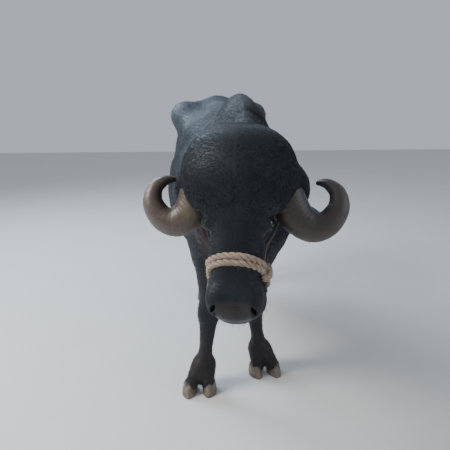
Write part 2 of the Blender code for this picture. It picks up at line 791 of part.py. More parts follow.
def ear(side, paint=None):
    return solid(f"ear_{SIDE_NAMES[side]}", *ring_loft(ear_rings(side)), paint)


def ear_socket(side):
    return solid("ear_socket", *ring_loft(ear_rings(side, True)))


def ball(name, centre, radius, segments=16, paint=None):
    mesh = bmesh.new()
    bmesh.ops.create_uvsphere(mesh, u_segments=segments, v_segments=segments // 2, radius=radius)
    bmesh.ops.translate(mesh, verts=mesh.verts, vec=centre)
    data = bpy.data.meshes.new(name)
    mesh.to_mesh(data)
    mesh.free()
    return new_object(name, data, paint)


def eye(side, paint=None, grow=0.0):
    return ball(f"eye_{SIDE_NAMES[side]}", in_head(side, EYE_AT), EYE_RADIUS + grow, 14, paint)


LID_HALF_LENGTH = 0.021
LID_HALF_HEIGHT = 0.0095
EYE_LOOKS = (0.90, 0.42, 0.06)


def lid_opening(side):
    """A lens-shaped bar through the lids, as long as the eye is wide."""
    looks = Vector(EYE_LOOKS).normalized()
    along = Vector((0.30, -0.62, 0.55))
    along = (along - looks * along.dot(looks)).normalized()
    across = looks.cross(along)
    rings = []
    for depth in (0.004, 0.075):
        ring = []
        for j in range(16):
            angle = 2 * math.pi * j / 16
            lean = math.cos(angle) * LID_HALF_LENGTH
            rise = math.sin(angle) * LID_HALF_HEIGHT * abs(math.sin(angle)) ** 0.35
            ring.append(in_head(side, Vector(EYE_AT) + looks * depth + along * lean + across * rise))
        rings.append(ring)
    return solid("lid_opening", *ring_loft(rings))


MOUTH_CENTRE = (0.0, -0.030, 0.470)
MOUTH_REACH = 112.0
MOUTH_OPEN = 0.0022


def mouth_line(forms, stations=23):
    """A thin wedge that parts the lips, on the skin from one corner of the mouth to the other."""
    angles = np.radians(np.linspace(-MOUTH_REACH, MOUTH_REACH, stations))
    ways = np.stack([np.sin(angles), 0.26 * np.cos(angles) - 0.08, np.cos(angles)], 1)
    ways /= np.linalg.norm(ways, axis=1)[:, None]
    origins = np.tile(MOUTH_CENTRE, (stations, 1))
    reach = surface_reach(origins, ways, forms)
    rings = []
    for origin, way, far in zip(origins, ways, reach):
        centre, way = Vector(origin + way * far), Vector(way)
        spread = Vector((0, MOUTH_OPEN, 0)) - way * (MOUTH_OPEN * way.y)
        outer = centre + way * 0.012
        ring = (outer + spread * 1.5, centre - way * 0.016, outer - spread * 1.5)
        rings.append([HEAD @ point for point in ring])
    return solid("mouth_line", *ring_loft(rings))


# Rope halter

NOSE_LOOPS = (0.367, 0.385)
LOOP_SLOPE = 0.56
LOOP_FRONT = 0.072
LOOP_STATIONS = 40
ROPE_SIDES = 6
ROPE_TURNS = 4
SUNK = 0.35


def surface_reach(origins, ways, forms, far=0.30):
    """How far along each way, in the head's frame, the flesh ends."""
    turn, base = np.array(HEAD.to_3x3()), np.array(HEAD.translation)
    inner, outer = np.zeros(len(origins)), np.full(len(origins), far)
    for _ in range(18):
        middle = (inner + outer) / 2
        world = (origins + ways * middle[:, None]) @ turn.T + base
        out = field(world, forms) > 0
        outer, inner = np.where(out, middle, outer), np.where(out, inner, middle)
    return (inner + outer) / 2


def nose_loop(down, forms, stations=LOOP_STATIONS):
    """The rope's centre line round the muzzle, on the skin, in the head's frame."""
    angles = np.linspace(0, 2 * np.pi, stations, endpoint=False)
    ways = np.stack([np.sin(angles), np.cos(angles), -LOOP_SLOPE * np.cos(angles)], 1)
    ways /= np.linalg.norm(ways, axis=1)[:, None]
    middle = (0, -0.01, down + LOOP_SLOPE * (LOOP_FRONT + 0.01))
    origins = np.tile(middle, (stations, 1))
    reach = surface_reach(origins, ways, forms) + ROPE_RADIUS * SUNK
    return origins + ways * reach[:, None]


def rope_rings(path, radius, turns, closed, grow=0.0):
    """Three-stranded sections that wind along the path, or plain ones grown to clear them."""
    tangents, normals, binormals = frames_along(path, closed)
    if not closed:
        path = stretched(path, tangents, grow)
    rings = []
    for i, (point, normal, binormal) in enumerate(zip(path, normals, binormals)):
        twist = 0 if grow else 2 * math.pi * turns * i / len(path)
        ring = []
        for j in range(ROPE_SIDES):
            angle = 2 * math.pi * j / ROPE_SIDES + twist
            reach = radius * (1 - 0.16 * (j % 2))
            if grow:
                reach = (radius + grow) / math.cos(math.pi / ROPE_SIDES)
            spoke = normal * math.cos(angle) + binormal * math.sin(angle)
            ring.append(HEAD @ Vector(point + spoke * reach))
        rings.append(ring)
    return rings


def noseband(forms, paint=None, grow=0.0):
    """Two turns of rope round the muzzle."""
    loops = []
    for down in NOSE_LOOPS:
        path = nose_loop(down, forms)
        rings = rope_rings(path, ROPE_RADIUS, ROPE_TURNS, True, grow)
        loops.append(solid("noseband", *looped(rings), paint))
    return loops


KNOT_ANGLE = 82.0


def knot_centre(forms):
    """Where the knot lies on her left cheek, in the head's frame."""
    path = nose_loop(sum(NOSE_LOOPS) / 2, forms, 360)
    return path[int(KNOT_ANGLE)]


def knot(forms, paint=None, grow=0.0):
    """Two rounded lumps of tied rope and its short cut end."""
    centre = Vector(knot_centre(forms))
    lumps = []
    for offset, size in (((0.004, 0.004, -0.006), 0.017), ((0.005, -0.010, 0.014), 0.015)):
        place = HEAD @ (centre + Vector(offset))
        lumps.append(ball("knot", place, size + grow, 10, paint))
    return lumps


STRAP_TURN = (-163, -142, -116, -90, -45, 0, 45, 90, 116, 142, 163)
STRAP_FRONT = (-0.018, -0.054, -0.089, -0.092, -0.104, -0.114, -0.104, -0.092, -0.089, -0.054, -0.018)
STRAP_MIDDLE = 0.19


def strap_path(forms, stations=37):
    """The thin rope's centre line from one cheek over the poll to the other, on the skin."""
    turn = np.linspace(STRAP_TURN[0], STRAP_TURN[-1], stations)
    front = smooth_curve(turn, STRAP_TURN, STRAP_FRONT)
    origins = np.stack([np.zeros(stations), front, np.full(stations, STRAP_MIDDLE)], 1)
    ways = np.stack([np.sin(np.radians(turn)), np.zeros(stations), -np.cos(np.radians(turn))], 1)
    reach = surface_reach(origins, ways, forms) + STRAP_RADIUS * SUNK
    return origins + ways * reach[:, None]


def strap(forms, paint=None, grow=0.0):
    path = strap_path(forms)
    return solid("headstall", *ring_loft(rope_rings(path, STRAP_RADIUS, 4, False, grow)), paint)


# Feet and tail

CLAW_RINGS = (
    # share of the height, share of the outline, lean of the toe
    (0.0, 1.00, 0.0),
    (0.35, 0.97, 0.006),
    (0.75, 0.88, 0.014),
    (1.0, 0.78, 0.019),
)
CLAW_HEIGHT = 0.070
HEEL_DROP = 0.030
CLAW_SIDES = 12


def claw(name, x, y, inner, turn, paint=None, grow=0.0):
    """One half of a cloven hoof: flat sole, blunt toe, the coronet sloping down to the heel."""
    spin = Matrix.Rotation(math.radians(turn), 3, "Z")
    rings = []
    for share, size, lean in CLAW_RINGS:
        ring = []
        for j in range(CLAW_SIDES):
            angle = 2 * math.pi * j / CLAW_SIDES
            ahead = math.cos(angle)
            wide = math.sin(angle)
            narrowing = 1 - 0.22 * max(0.0, ahead) ** 2
            flat = 0.72 if wide * inner > 0 else 1.0
            across = wide * narrowing * flat * (CLAW_HALF_WIDTH * size + grow)
            along = -ahead * (CLAW_LENGTH / 2 * size + grow) + lean
            height = share * (CLAW_HEIGHT - HEEL_DROP * (1 - ahead) / 2) + (grow if share == 1.0 else 0)
            place = spin @ Vector((across, along, height))
            ring.append(Vector((x, y, 0)) + place)
        rings.append(ring)
    return solid(name, *ring_loft(rings), paint)


def feet():
    """Each foot's name, side, joints and the way its toes point."""
    for side in SIDES:
        yield f"fore_{SIDE_NAMES[side]}", side, FORE_LEGS[side], side * 9.0
        yield f"hind_{SIDE_NAMES[side]}", side, HIND_LEGS[side], side * 7.0


def claw_places():
    """Each claw's name, place, inner side and turn."""
    for foot, side, joints, splay in feet():
        x, y = joints["foot"]
        for digit, word in ((-side, "inner"), (side, "outer")):
            yield f"claw_{foot}_{word}", side * x + digit * 0.0440, y, -digit, splay + digit * 5.0


def dewclaw_places():
    for foot, side, joints, _ in feet():
        x, y = joints["fetlock"]
        for digit, word in ((-side, "inner"), (side, "outer")):
            yield f"dewclaw_{foot}_{word}", (side * x + digit * 0.030, y + 0.046, 0.122)


def dewclaw(name, place, paint=None, grow=0.0):
    """A small blunt horn cone behind the fetlock, pointing back and down."""
    tip_way = Vector((0, 0.55, -0.83)).normalized()
    across = tip_way.orthogonal().normalized()
    other = tip_way.cross(across)
    rings = []
    for along, radius in ((-0.016, 0.013), (0.0, 0.0155), (0.014, 0.013), (0.024, 0.006)):
        ring = []
        for j in range(6):
            angle = 2 * math.pi * j / 6
            offset = (across * math.cos(angle) + other * math.sin(angle)) * (radius + grow)
            ring.append(Vector(place) + tip_way * (along + math.copysign(grow, along)) + offset)
        rings.append(ring)
    return solid(name, *ring_loft(rings), paint)


TAIL_PATH = (
    # x, y, z, radius
    (0.000, 0.870, 1.312, 0.034),
    (0.000, 0.925, 1.285, 0.033),
    (0.000, 0.968, 1.225, 0.030),
    (0.001, 0.990, 1.120, 0.025),
    (0.003, 0.997, 0.950, 0.019),
    (0.006, 0.994, 0.780, 0.015),
    (0.009, 0.990, 0.640, 0.012),
)
SWITCH_LENGTH = 0.27
SWITCH_LOCKS = 10
SWITCH_CORE = 0.014


def tail(paint=None, grow=0.0):
    table = np.array(TAIL_PATH)
    rows = smooth_curve(np.linspace(0, 1, 18), np.linspace(0, 1, len(table)), table)
    tangents, normals, binormals = frames_along(rows[:, :3])
    centres = stretched(rows[:, :3], tangents, grow)
    around = [2 * math.pi * j / 9 for j in range(9)]
    rings = []
    for centre, row, normal, binormal in zip(centres, rows, normals, binormals):
        size = row[3] + grow
        rings.append([centre + (normal * math.cos(a) + binormal * math.sin(a)) * size for a in around])
    return solid("tail", *ring_loft(rings), paint)


def lock_rings(root, way, length, width, thick, bend, curl):
    """A flat tapered lock that leaves its root, bends over and hangs to a fine tip."""
    shares = (0.0, 0.25, 0.55, 0.82, 1.0)
    tapers = (0.75, 1.0, 0.90, 0.50, 0.10)
    rings = []
    flat = Vector((0, 0, 1)).cross(way).normalized()
    for share, taper in zip(shares, tapers):
        out = way * (bend * math.sin(share * math.pi * 0.75)) + flat * (curl * share**2)
        centre = Vector(root) + out + Vector((0, 0, -length * share))
        half, half_thick = width / 2 * taper, thick / 2 * taper
        wide, deep = flat * half, way * half_thick
        rings.append([centre + wide, centre + deep, centre - wide, centre - deep])
    return rings


def tail_switch(paint):
    """The brush at the tail's end: a slim core and overlapping locks hung round it."""
    x, y, z, radius = TAIL_PATH[-1]
    top = z - 5 * GAP
    rings = []
    for share, size in ((0, 1.0), (0.25, 1.25), (0.55, 1.0), (0.8, 0.55)):
        ring = []
        for j in range(10):
            angle = 2 * math.pi * j / 10
            reach = SWITCH_CORE * size
            place = Vector((x + math.cos(angle) * reach, y + math.sin(angle) * reach,
                            top - SWITCH_LENGTH * 0.62 * share))
            ring.append(place)
        rings.append(ring)
    core = solid("tail_switch", *ring_loft(rings), paint)
    draw = np.random.default_rng(7)
    locks = []
    for i in range(SWITCH_LOCKS):
        angle = 2.399963 * i
        share = i / SWITCH_LOCKS
        way = Vector((math.cos(angle), math.sin(angle), 0))
        root = Vector((x, y, top - 0.014 - 0.11 * share)) + way * 0.004
        length = SWITCH_LENGTH * (0.62 + 0.16 * draw.random()) + 0.02 * (share < 0.3)
        rings = lock_rings(root, way, length, 0.026 + 0.006 * draw.random(), 0.011,
                           0.013 + 0.010 * draw.random(), 0.018 * (draw.random() - 0.5))
        locks.append(solid("lock", *ring_loft(rings)))
    return join_all(core, locks)


def join_all(core, pieces):
    """One union of the core with a collection of closed pieces."""
    held = bpy.data.collections.new("pieces")
    bpy.context.scene.collection.children.link(held)
    for piece in pieces:
        bpy.context.scene.collection.objects.unlink(piece)
        held.objects.link(piece)
    step = core.modifiers.new("Union", "BOOLEAN")
    step.operation = "UNION"
    step.operand_type = "COLLECTION"
    step.collection = held
    step.solver = "EXACT"
    applied(core)
    remove(pieces)
    bpy.data.collections.remove(held)
    return keep_largest(core)


UDDER_AT = (0.0, 0.475, 0.665)
UDDER_SIZE = (0.095, 0.135, 0.085)


def udder_bag(paint=None, grow=0.0):
    bag = ball("udder", (0, 0, 0), 1.0, 14, paint)
    stretch = Matrix.Diagonal((*(size + grow for size in UDDER_SIZE), 1))
    bag.data.transform(Matrix.Translation(UDDER_AT) @ stretch)
    return bag


def udder(paint):
    """A small bag between the thighs, with four teats."""
    x, y, z = UDDER_AT
    teats = []
    for side in SIDES:
        for along in (-0.055, 0.045):
            rings = []
            for drop, radius in ((0.0, 0.015), (0.05, 0.0125), (0.085, 0.0115), (0.094, 0.006)):
                around = [2 * math.pi * j / 6 for j in range(6)]
                middle = Vector((x + side * 0.042, y + along, z - 0.045 - drop))
                rings.append([middle + Vector((math.cos(a), math.sin(a), 0)) * radius for a in around])
            teats.append(solid("teat", *ring_loft(rings)))
    return join_all(udder_bag(paint), teats)


# The whole animal

HEAD_CUT = ((0.0, -0.134, 0.0), (0.0, -0.186, 0.300))
NECK_CUT_POINT = (0, -0.625, 1.08)
NECK_CUT_NORMAL = (0, 0.932, -0.361)


def head_cut():
    """A point of the plane behind the poll and the jaw, and its normal towards the neck."""
    upper, lower = (HEAD @ Vector(point) for point in HEAD_CUT)
    sideways = HEAD.to_3x3() @ Vector((1, 0, 0))
    normal = sideways.cross(lower - upper).normalized()
    if normal.y < 0:
        normal.negate()
    return upper, normal


def leg_planes(side, fore, spare):
    """The planes that bound a leg, each pushed out by the spare."""
    if fore:
        low, high = Vector((0.03 * side, 0, 0.590)), Vector((0.27 * side, 0, 0.800))
        behind = (Vector((0, -0.235, 0)), Vector((0, 1, 0)))
    else:
        low, high = Vector((0.0, 0, 0.690)), Vector((0.27 * side, 0, 0.900))
        behind = (Vector((0, 0.352, 0)), Vector((0, -1, 0)))
    slope = (high - low).cross(Vector((0, 1, 0)))
    if slope.z < 0:
        slope.negate()
    planes = [(low, slope.normalized()), behind, (Vector((side * 0.004, 0, 0)), Vector((-side, 0, 0)))]
    if fore:
        planes.append((Vector((0, -1.1, 0)), Vector((0, -1, 0))))
    else:
        planes.append((Vector((0, 1.19, 0)), Vector((0, 1, 0))))
    return [(point + normal * spare, normal) for point, normal in planes]


def trunk_and_legs(forms, paints):
    """The whole body in one surface, parted into neck, torso and four legs."""
    low, high = (-0.40, -1.16, 0.0), (0.40, 1.02, 1.50)
    whole = skin("torso", low, high, BODY_CELL, BODY_TRIANGLES, forms, paints["skin"])
    point, normal = Vector(NECK_CUT_POINT), Vector(NECK_CUT_NORMAL).normalized()
    neck = copy_of(whole, "neck")
    sliced(neck, point - normal * GAP / 2, normal)
    head_point, head_normal = head_cut()
    sliced(neck, head_point + head_normal * GAP / 2, -head_normal)
    sliced(whole, point + normal * GAP / 2, -normal)
    legs = []
    for side in SIDES:
        for fore, word in ((True, "fore"), (False, "hind")):
            leg = copy_of(whole, f"leg_{word}_{SIDE_NAMES[side]}")
            combine(leg, [block(leg_planes(side, fore, -GAP / 2))], "INTERSECT")
            legs.append(leg)
    wedges = [block(leg_planes(side, fore, GAP / 2)) for side in SIDES for fore in (True, False)]
    combine(whole, wedges, "DIFFERENCE")
    return whole, neck, legs


def leg_named(legs, name):
    foot = name.split("_")
    return next(leg for leg in legs if leg.name == f"leg_{foot[1]}_{foot[2]}")


def shod(legs, paints):
    """Sets the claws and dewclaws into the ends of the legs."""
    for name, x, y, inner, turn in claw_places():
        claw(name, x, y, inner, turn, paints["claw"])
        combine(leg_named(legs, name), [claw("cutter", x, y, inner, turn, None, GAP)], "DIFFERENCE")
    for name, place in dewclaw_places():
        dewclaw(name, place, paints["claw"])
        combine(leg_named(legs, name), [dewclaw("cutter", place, None, GAP)], "DIFFERENCE")


def dressed_head(forms, paints):
    """The head with horns, ears, eyes, lips and halter seated in it."""
    low, high = (-0.40, -1.40, 0.66), (0.26, -0.86, 1.40)
    head = skin("head", low, high, HEAD_CELL, HEAD_TRIANGLES, forms, paints["skin"])
    point, normal = head_cut()
    sliced(head, point - normal * GAP / 2, normal)
    cutters = [mouth_line(forms)]
    for side in SIDES:
        horn(side, paints["horn"])
        ear(side, paints["skin"])
        eye(side, paints["eye"])
        cutters += [horn(side, None, GAP), ear_socket(side), eye(side, None, GAP), lid_opening(side)]
    cutters += noseband(forms, None, GAP) + knot(forms, None, GAP)
    cutters.append(strap(forms, None, GAP))
    combine(head, cutters, "DIFFERENCE")
    loops = noseband(forms, paints["rope"])
    band = join_all(loops[0], [loops[1]] + knot(forms, paints["rope"]))
    band.name = "noseband"
    headstall = strap(forms, paints["rope"])
    combine(headstall, noseband(forms, None, GAP) + knot(forms, None, GAP), "DIFFERENCE")
    return head


def settled():
    """Moves all so that the middle of the box's floor is the origin, and each piece's origin is its
    own middle. Curved faces are shaded smooth up to their sharp edges."""
    corners = [v.co for obj in bpy.data.objects for v in obj.data.vertices]
    low = Vector([min(c[i] for c in corners) for i in range(3)])
    high = Vector([max(c[i] for c in corners) for i in range(3)])
    shift = Vector((-(low.x + high.x) / 2, -(low.y + high.y) / 2, -low.z))
    for obj in bpy.data.objects:
        middle = sum((Vector(corner) for corner in obj.bound_box), Vector()) / 8
        obj.data.transform(Matrix.Translation(-middle))
        obj.location = middle + shift
        obj.data.shade_smooth()
        obj.data.set_sharp_from_angle(angle=math.radians(SHARP_ANGLE))


def main():
    clear_scene()
    paints = {
        "skin": material("skin", (0.045, 0.046, 0.050), 0.55),
        "horn": material("horn", (0.115, 0.085, 0.065), 0.50),
        "claw": material("claw", (0.30, 0.27, 0.23), 0.60),
        "eye": material("eye", (0.02, 0.014, 0.010), 0.08),
        "rope": material("rope", (0.50, 0.38, 0.28), 0.90),
        "hair": material("hair", (0.03, 0.025, 0.022), 0.75),
    }
    forms = flesh_forms()
    torso, neck, legs = trunk_and_legs(forms, paints)
    shod(legs, paints)
    dressed_head(forms, paints)
    combine(neck, [ear_socket(side) for side in SIDES], "DIFFERENCE")
    tail(paints["skin"])
    tail_switch(paints["hair"])
    udder(paints["skin"])
    combine(torso, [tail(None, GAP), udder_bag(None, GAP)], "DIFFERENCE")
    for name in ("leg_hind_right", "leg_hind_left"):
        combine(bpy.data.objects[name], [udder_bag(None, GAP)], "DIFFERENCE")
    settled()


main()
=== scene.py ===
"""The looks of a standing water buffalo cow: skin and coat, horns, hooves, eyes and rope halter.

Metres, +Z up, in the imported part's frame. The flesh is the field of forms that the part's solids
come from, sampled finer and a coat's depth inside them, as one skin that carries the coat.
"""

import math
from collections import namedtuple

import bmesh
import bpy
import numpy as np
from mathutils import Matrix, Vector


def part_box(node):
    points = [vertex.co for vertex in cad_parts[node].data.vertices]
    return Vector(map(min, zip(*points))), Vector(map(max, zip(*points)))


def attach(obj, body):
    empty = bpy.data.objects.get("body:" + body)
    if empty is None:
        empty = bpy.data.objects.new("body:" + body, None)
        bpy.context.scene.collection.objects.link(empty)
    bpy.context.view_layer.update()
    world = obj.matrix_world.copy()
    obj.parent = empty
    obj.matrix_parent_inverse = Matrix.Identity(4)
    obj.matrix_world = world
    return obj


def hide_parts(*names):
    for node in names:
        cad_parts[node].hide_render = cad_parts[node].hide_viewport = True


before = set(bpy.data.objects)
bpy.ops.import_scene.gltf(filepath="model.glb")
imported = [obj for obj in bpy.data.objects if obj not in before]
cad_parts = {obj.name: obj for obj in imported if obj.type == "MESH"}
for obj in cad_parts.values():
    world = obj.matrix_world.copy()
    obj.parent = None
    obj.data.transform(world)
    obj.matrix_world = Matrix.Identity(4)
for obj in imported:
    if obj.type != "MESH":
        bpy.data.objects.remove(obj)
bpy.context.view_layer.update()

# Driving sizes, as the part has them
WITHERS_Z = 1.400
CROUP_Z = 1.44
LOIN_Z = 1.375
BELLY_Z = 0.55
BARREL_HALF = 0.315
HIP_HALF = 0.216
HEAD_LENGTH = 0.575
POLL = (-0.081, -1.086, 1.289)
HEAD_YAW = 15.0
HEAD_TILT = 12.0
EYE_RADIUS = 0.021
EYE_AT = (0.087, 0.032, 0.270)
EAR_LENGTH = 0.235
ROPE_RADIUS = 0.0105
STRAP_RADIUS = 0.006
CLAW_LENGTH = 0.118
CLAW_HALF_WIDTH = 0.041

# How far the skin lies inside the solids, the cell sizes of the sampled surfaces, and where their
# nets meet, with half the gap that a bridge closes
BODY_INSET = 0.0020
HEAD_INSET = 0.0012
BODY_CELL = 0.010
HEAD_CELL = 0.0038
JOIN_Y = -0.775
HALF_JOIN = 0.002

SIDES = (-1, 1)
SIDE_NAMES = {-1: "right", 1: "left"}
FAR = 10.0
CHUNK = 12000
WAVES = 7
LOFT_ROWS = 240

FORE_LEGS = {
    # x without its sign and y of each joint
    -1: {"elbow": (0.150, -0.420), "knee": (0.136, -0.447),
         "fetlock": (0.163, -0.440), "foot": (0.187, -0.466)},
    1: {"elbow": (0.147, -0.385), "knee": (0.100, -0.345),
        "fetlock": (0.140, -0.312), "foot": (0.166, -0.338)},
}
HIND_LEGS = {
    -1: {"thigh": (0.130, 0.640), "hock": (0.080, 0.775), "fetlock": (0.060, 0.742), "foot": (0.054, 0.690)},
    1: {"thigh": (0.145, 0.650), "hock": (0.150, 0.795), "fetlock": (0.158, 0.760), "foot": (0.166, 0.708)},
}


# Places and curves

def head_matrix():
    """The head's own frame: +X to her left, +Y out of the face, +Z down the face, from the poll."""
    yaw, tilt = math.radians(HEAD_YAW), math.radians(HEAD_TILT)
    side = Vector((math.cos(yaw), -math.sin(yaw), 0))
    front = Vector((-math.sin(yaw) * math.cos(tilt), -math.cos(yaw) * math.cos(tilt), math.sin(tilt)))
    down = side.cross(front)
    matrix = Matrix((side, front, down)).transposed().to_4x4()
    matrix.translation = POLL
    return matrix


HEAD = head_matrix()
HEAD_TURN = np.array(HEAD.to_3x3())
HEAD_BASE = np.array(HEAD.translation)


def in_head(side, point):
    """A point of the head's frame on one side, in the body's frame."""
    return HEAD @ Vector((side * point[0], point[1], point[2]))


def to_head(points):
    return (points - HEAD_BASE) @ HEAD_TURN


def from_head(points):
    return np.asarray(points) @ HEAD_TURN.T + HEAD_BASE


def packed_shift():
    """From the body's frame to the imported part's, read off the left eye."""
    low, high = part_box("eye_left")
    return np.array((low + high) / 2 - in_head(1, EYE_AT))


SHIFT = packed_shift()


def smooth_curve(at, knots, values):
    """A cubic through the knots whose slopes come from the neighbouring chords."""
    knots, values = np.asarray(knots, float), np.asarray(values, float)
    slopes = np.gradient(values, knots, axis=0)
    i = np.clip(np.searchsorted(knots, at) - 1, 0, len(knots) - 2)
    span = (knots[i + 1] - knots[i]).reshape(-1, *[1] * (values.ndim - 1))
    t = np.clip((at - knots[i]).reshape(span.shape) / span, 0, 1)
    rise = 3 * t**2 - 2 * t**3
    return (
        values[i] * (1 - rise)
        + values[i + 1] * rise
        + slopes[i] * span * (t - 2 * t**2 + t**3)
        + slopes[i + 1] * span * (t**3 - t**2)
    )


def step(value, start, end):
    """0 before the start and 1 past the end, smooth between. The end may be the lower one."""
    t = np.clip((value - start) / (end - start), 0, 1)
    return t * t * (3 - 2 * t)


def unit(vectors):
    return vectors / (np.linalg.norm(vectors, axis=-1, keepdims=True) + 1e-12)


def waves(points, scale, seed):
    """A smooth wobble between about -1 and 1, of bumps about 1 / scale metres across."""
    draw = np.random.default_rng(seed)
    ways = unit(draw.normal(size=(WAVES, 3))) * scale * draw.uniform(2.0, 4.5, (WAVES, 1))
    return np.sin(points @ ways.T + draw.uniform(0, 6.28, WAVES)).sum(1) / math.sqrt(WAVES)


# Forms: each gives a distance that is negative inside. A carved one is taken away.

Form = namedtuple("Form", "frame low high value soft carved")


def loft(frame_name, axis, across, out, stations, soft):
    """A tube along one axis. A station is its place, the two centre offsets, the half width, the
    halves above and below the centre, and the powers that square or sharpen them."""
    stations = np.array(stations, float)
    first, last = stations[0, 0], stations[-1, 0]
    at = np.linspace(first, last, LOFT_ROWS)
    table = smooth_curve(at, stations[:, 0], stations[:, 1:])

    def value(points):
        u = points[:, axis]
        cx, cq, half, above, below, p_above, p_below = (np.interp(u, at, column) for column in table.T)
        p, q = np.abs(points[:, across] - cx), points[:, out] - cq
        upper = q > 0
        power = np.where(upper, p_above, p_below)
        height = np.where(upper, above, below)
        reach = np.hypot(p, q) + 1e-9
        rho = ((p / half) ** power + (np.abs(q) / height) ** power) ** (1 / power) + 1e-9
        side = reach - reach / rho
        end = np.maximum(first - u, u - last)
        return np.minimum(np.maximum(side, end), 0) + np.hypot(np.maximum(side, 0), np.maximum(end, 0))

    low, high = np.zeros(3), np.zeros(3)
    low[axis], high[axis] = first, last
    _, centre, middle, half, above, below = stations.T[:6]
    low[across], high[across] = (centre - half).min(), (centre + half).max()
    low[out], high[out] = (middle - below).min(), (middle + above).max()
    return Form(frame_name, low, high, value, soft, False)


def bulge(frame_name, centre, radii, soft, turn=(0, 0, 0), carved=False):
    """An ellipsoid, turned about X, Y and Z in degrees."""
    centre, radii = np.array(centre, float), np.array(radii, float)
    spin = np.array(Matrix.Rotation(math.radians(turn[2]), 3, "Z")
                    @ Matrix.Rotation(math.radians(turn[1]), 3, "Y")
                    @ Matrix.Rotation(math.radians(turn[0]), 3, "X"))

    def value(points):
        local = (points - centre) @ spin
        near = np.linalg.norm(local / radii, axis=1) + 1e-9
        slope = np.linalg.norm(local / radii**2, axis=1) + 1e-9
        return near * (near - 1) / slope

    reach = np.abs(spin) @ radii
    return Form(frame_name, centre - reach, centre + reach, value, soft, carved)


def rod(frame_name, start, end, radii, soft, carved=False):
    """A round bar whose radius changes evenly from end to end."""
    start, end = np.array(start, float), np.array(end, float)
    along = end - start

    def value(points):
        t = np.clip((points - start) @ along / (along @ along), 0, 1)
        nearest = start + t[:, None] * along
        return np.linalg.norm(points - nearest, axis=1) - (radii[0] + t * (radii[1] - radii[0]))

    low, high = np.minimum(start, end) - max(radii), np.maximum(start, end) + max(radii)
    return Form(frame_name, low, high, value, soft, carved)


def chain(frame_name, knots, soft, carved=False):
    """Round bars end to end through the knots, each a place and a radius, blended as one."""
    bars = [rod(frame_name, a[:3], b[:3], (a[3], b[3]), soft) for a, b in zip(knots, knots[1:])]

    def value(points):
        return np.min([bar.value(points) for bar in bars], axis=0)

    low, high = np.min([bar.low for bar in bars], axis=0), np.max([bar.high for bar in bars], axis=0)
    return Form(frame_name, low, high, value, soft, carved)


def field_part(points, forms):
    """Joins or carves the forms in their order, each blended over its own softness."""
    seen = {"body": points, "head": to_head(points)}
    spans = {name: (place.min(0), place.max(0)) for name, place in seen.items()}
    distance = np.full(len(points), FAR)
    for form in forms:
        margin = form.soft + 0.05
        low, high = spans[form.frame]
        if np.any(high < form.low - margin) or np.any(low > form.high + margin):
            continue
        place = seen[form.frame]
        near = np.all((place > form.low - margin) & (place < form.high + margin), axis=1)
        if not near.any():
            continue
        value, held = form.value(place[near]), distance[near]
        value = -value if form.carved else value
        lap = np.maximum(form.soft - np.abs(value - held), 0) / form.soft
        blend = lap**2 * form.soft / 4
        distance[near] = np.maximum(value, held) + blend if form.carved else np.minimum(value, held) - blend
    return distance


def field(points, forms):
    """The distance at each point, worked out in lots of points that lie close together."""
    lots = [field_part(points[i:i + CHUNK], forms) for i in range(0, len(points), CHUNK)]
    return np.concatenate(lots)


# The flesh, as in the part

TRUNK = (
    # y, top, bottom, widest z, half width, power above, power below
    (-0.80, 1.10, 0.86, 0.98, 0.070, 2.0, 2.0),
    (-0.74, 1.22, 0.75, 0.98, 0.130, 1.8, 2.0),
    (-0.62, 1.330, 0.67, 0.98, 0.180, 1.45, 2.0),
    (-0.45, WITHERS_Z - 0.015, 0.625, 0.97, 0.222, 1.32, 2.0),
    (-0.25, WITHERS_Z - 0.030, 0.60, 0.95, 0.272, 1.34, 2.1),
    (0.00, LOIN_Z - 0.005, 0.550, 0.93, BARREL_HALF, 1.55, 2.1),
    (0.20, LOIN_Z - 0.005, BELLY_Z, 0.94, BARREL_HALF, 1.75, 2.1),
    (0.38, LOIN_Z + 0.000, 0.60, 0.99, 0.285, 2.8, 2.0),
    (0.52, LOIN_Z - 0.005, 0.70, 1.04, 0.258, 2.8, 2.0),
    (0.66, LOIN_Z - 0.020, 0.80, 1.08, 0.228, 2.4, 2.0),
    (0.80, 1.320, 0.87, 1.10, 0.182, 2.2, 2.0),
    (0.90, 1.270, 0.95, 1.12, 0.130, 2.0, 2.0),
    (0.955, 1.20, 1.04, 1.12, 0.075, 2.0, 2.0),
)
NECK = (
    # y, x, top, bottom, widest z, half width, power above, power below
    (-0.40, 0.000, 1.385, 0.78, 1.05, 0.180, 1.4, 1.9),
    (-0.55, 0.000, 1.395, 0.75, 1.05, 0.175, 1.4, 1.9),
    (-0.70, -0.008, 1.365, 0.79, 1.06, 0.150, 1.5, 1.8),
    (-0.85, -0.025, 1.312, 0.86, 1.08, 0.132, 1.6, 1.7),
    (-1.00, -0.048, 1.272, 0.93, 1.10, 0.125, 1.7, 1.7),
    (-1.10, -0.066, 1.245, 0.99, 1.12, 0.115, 1.8, 1.8),
)
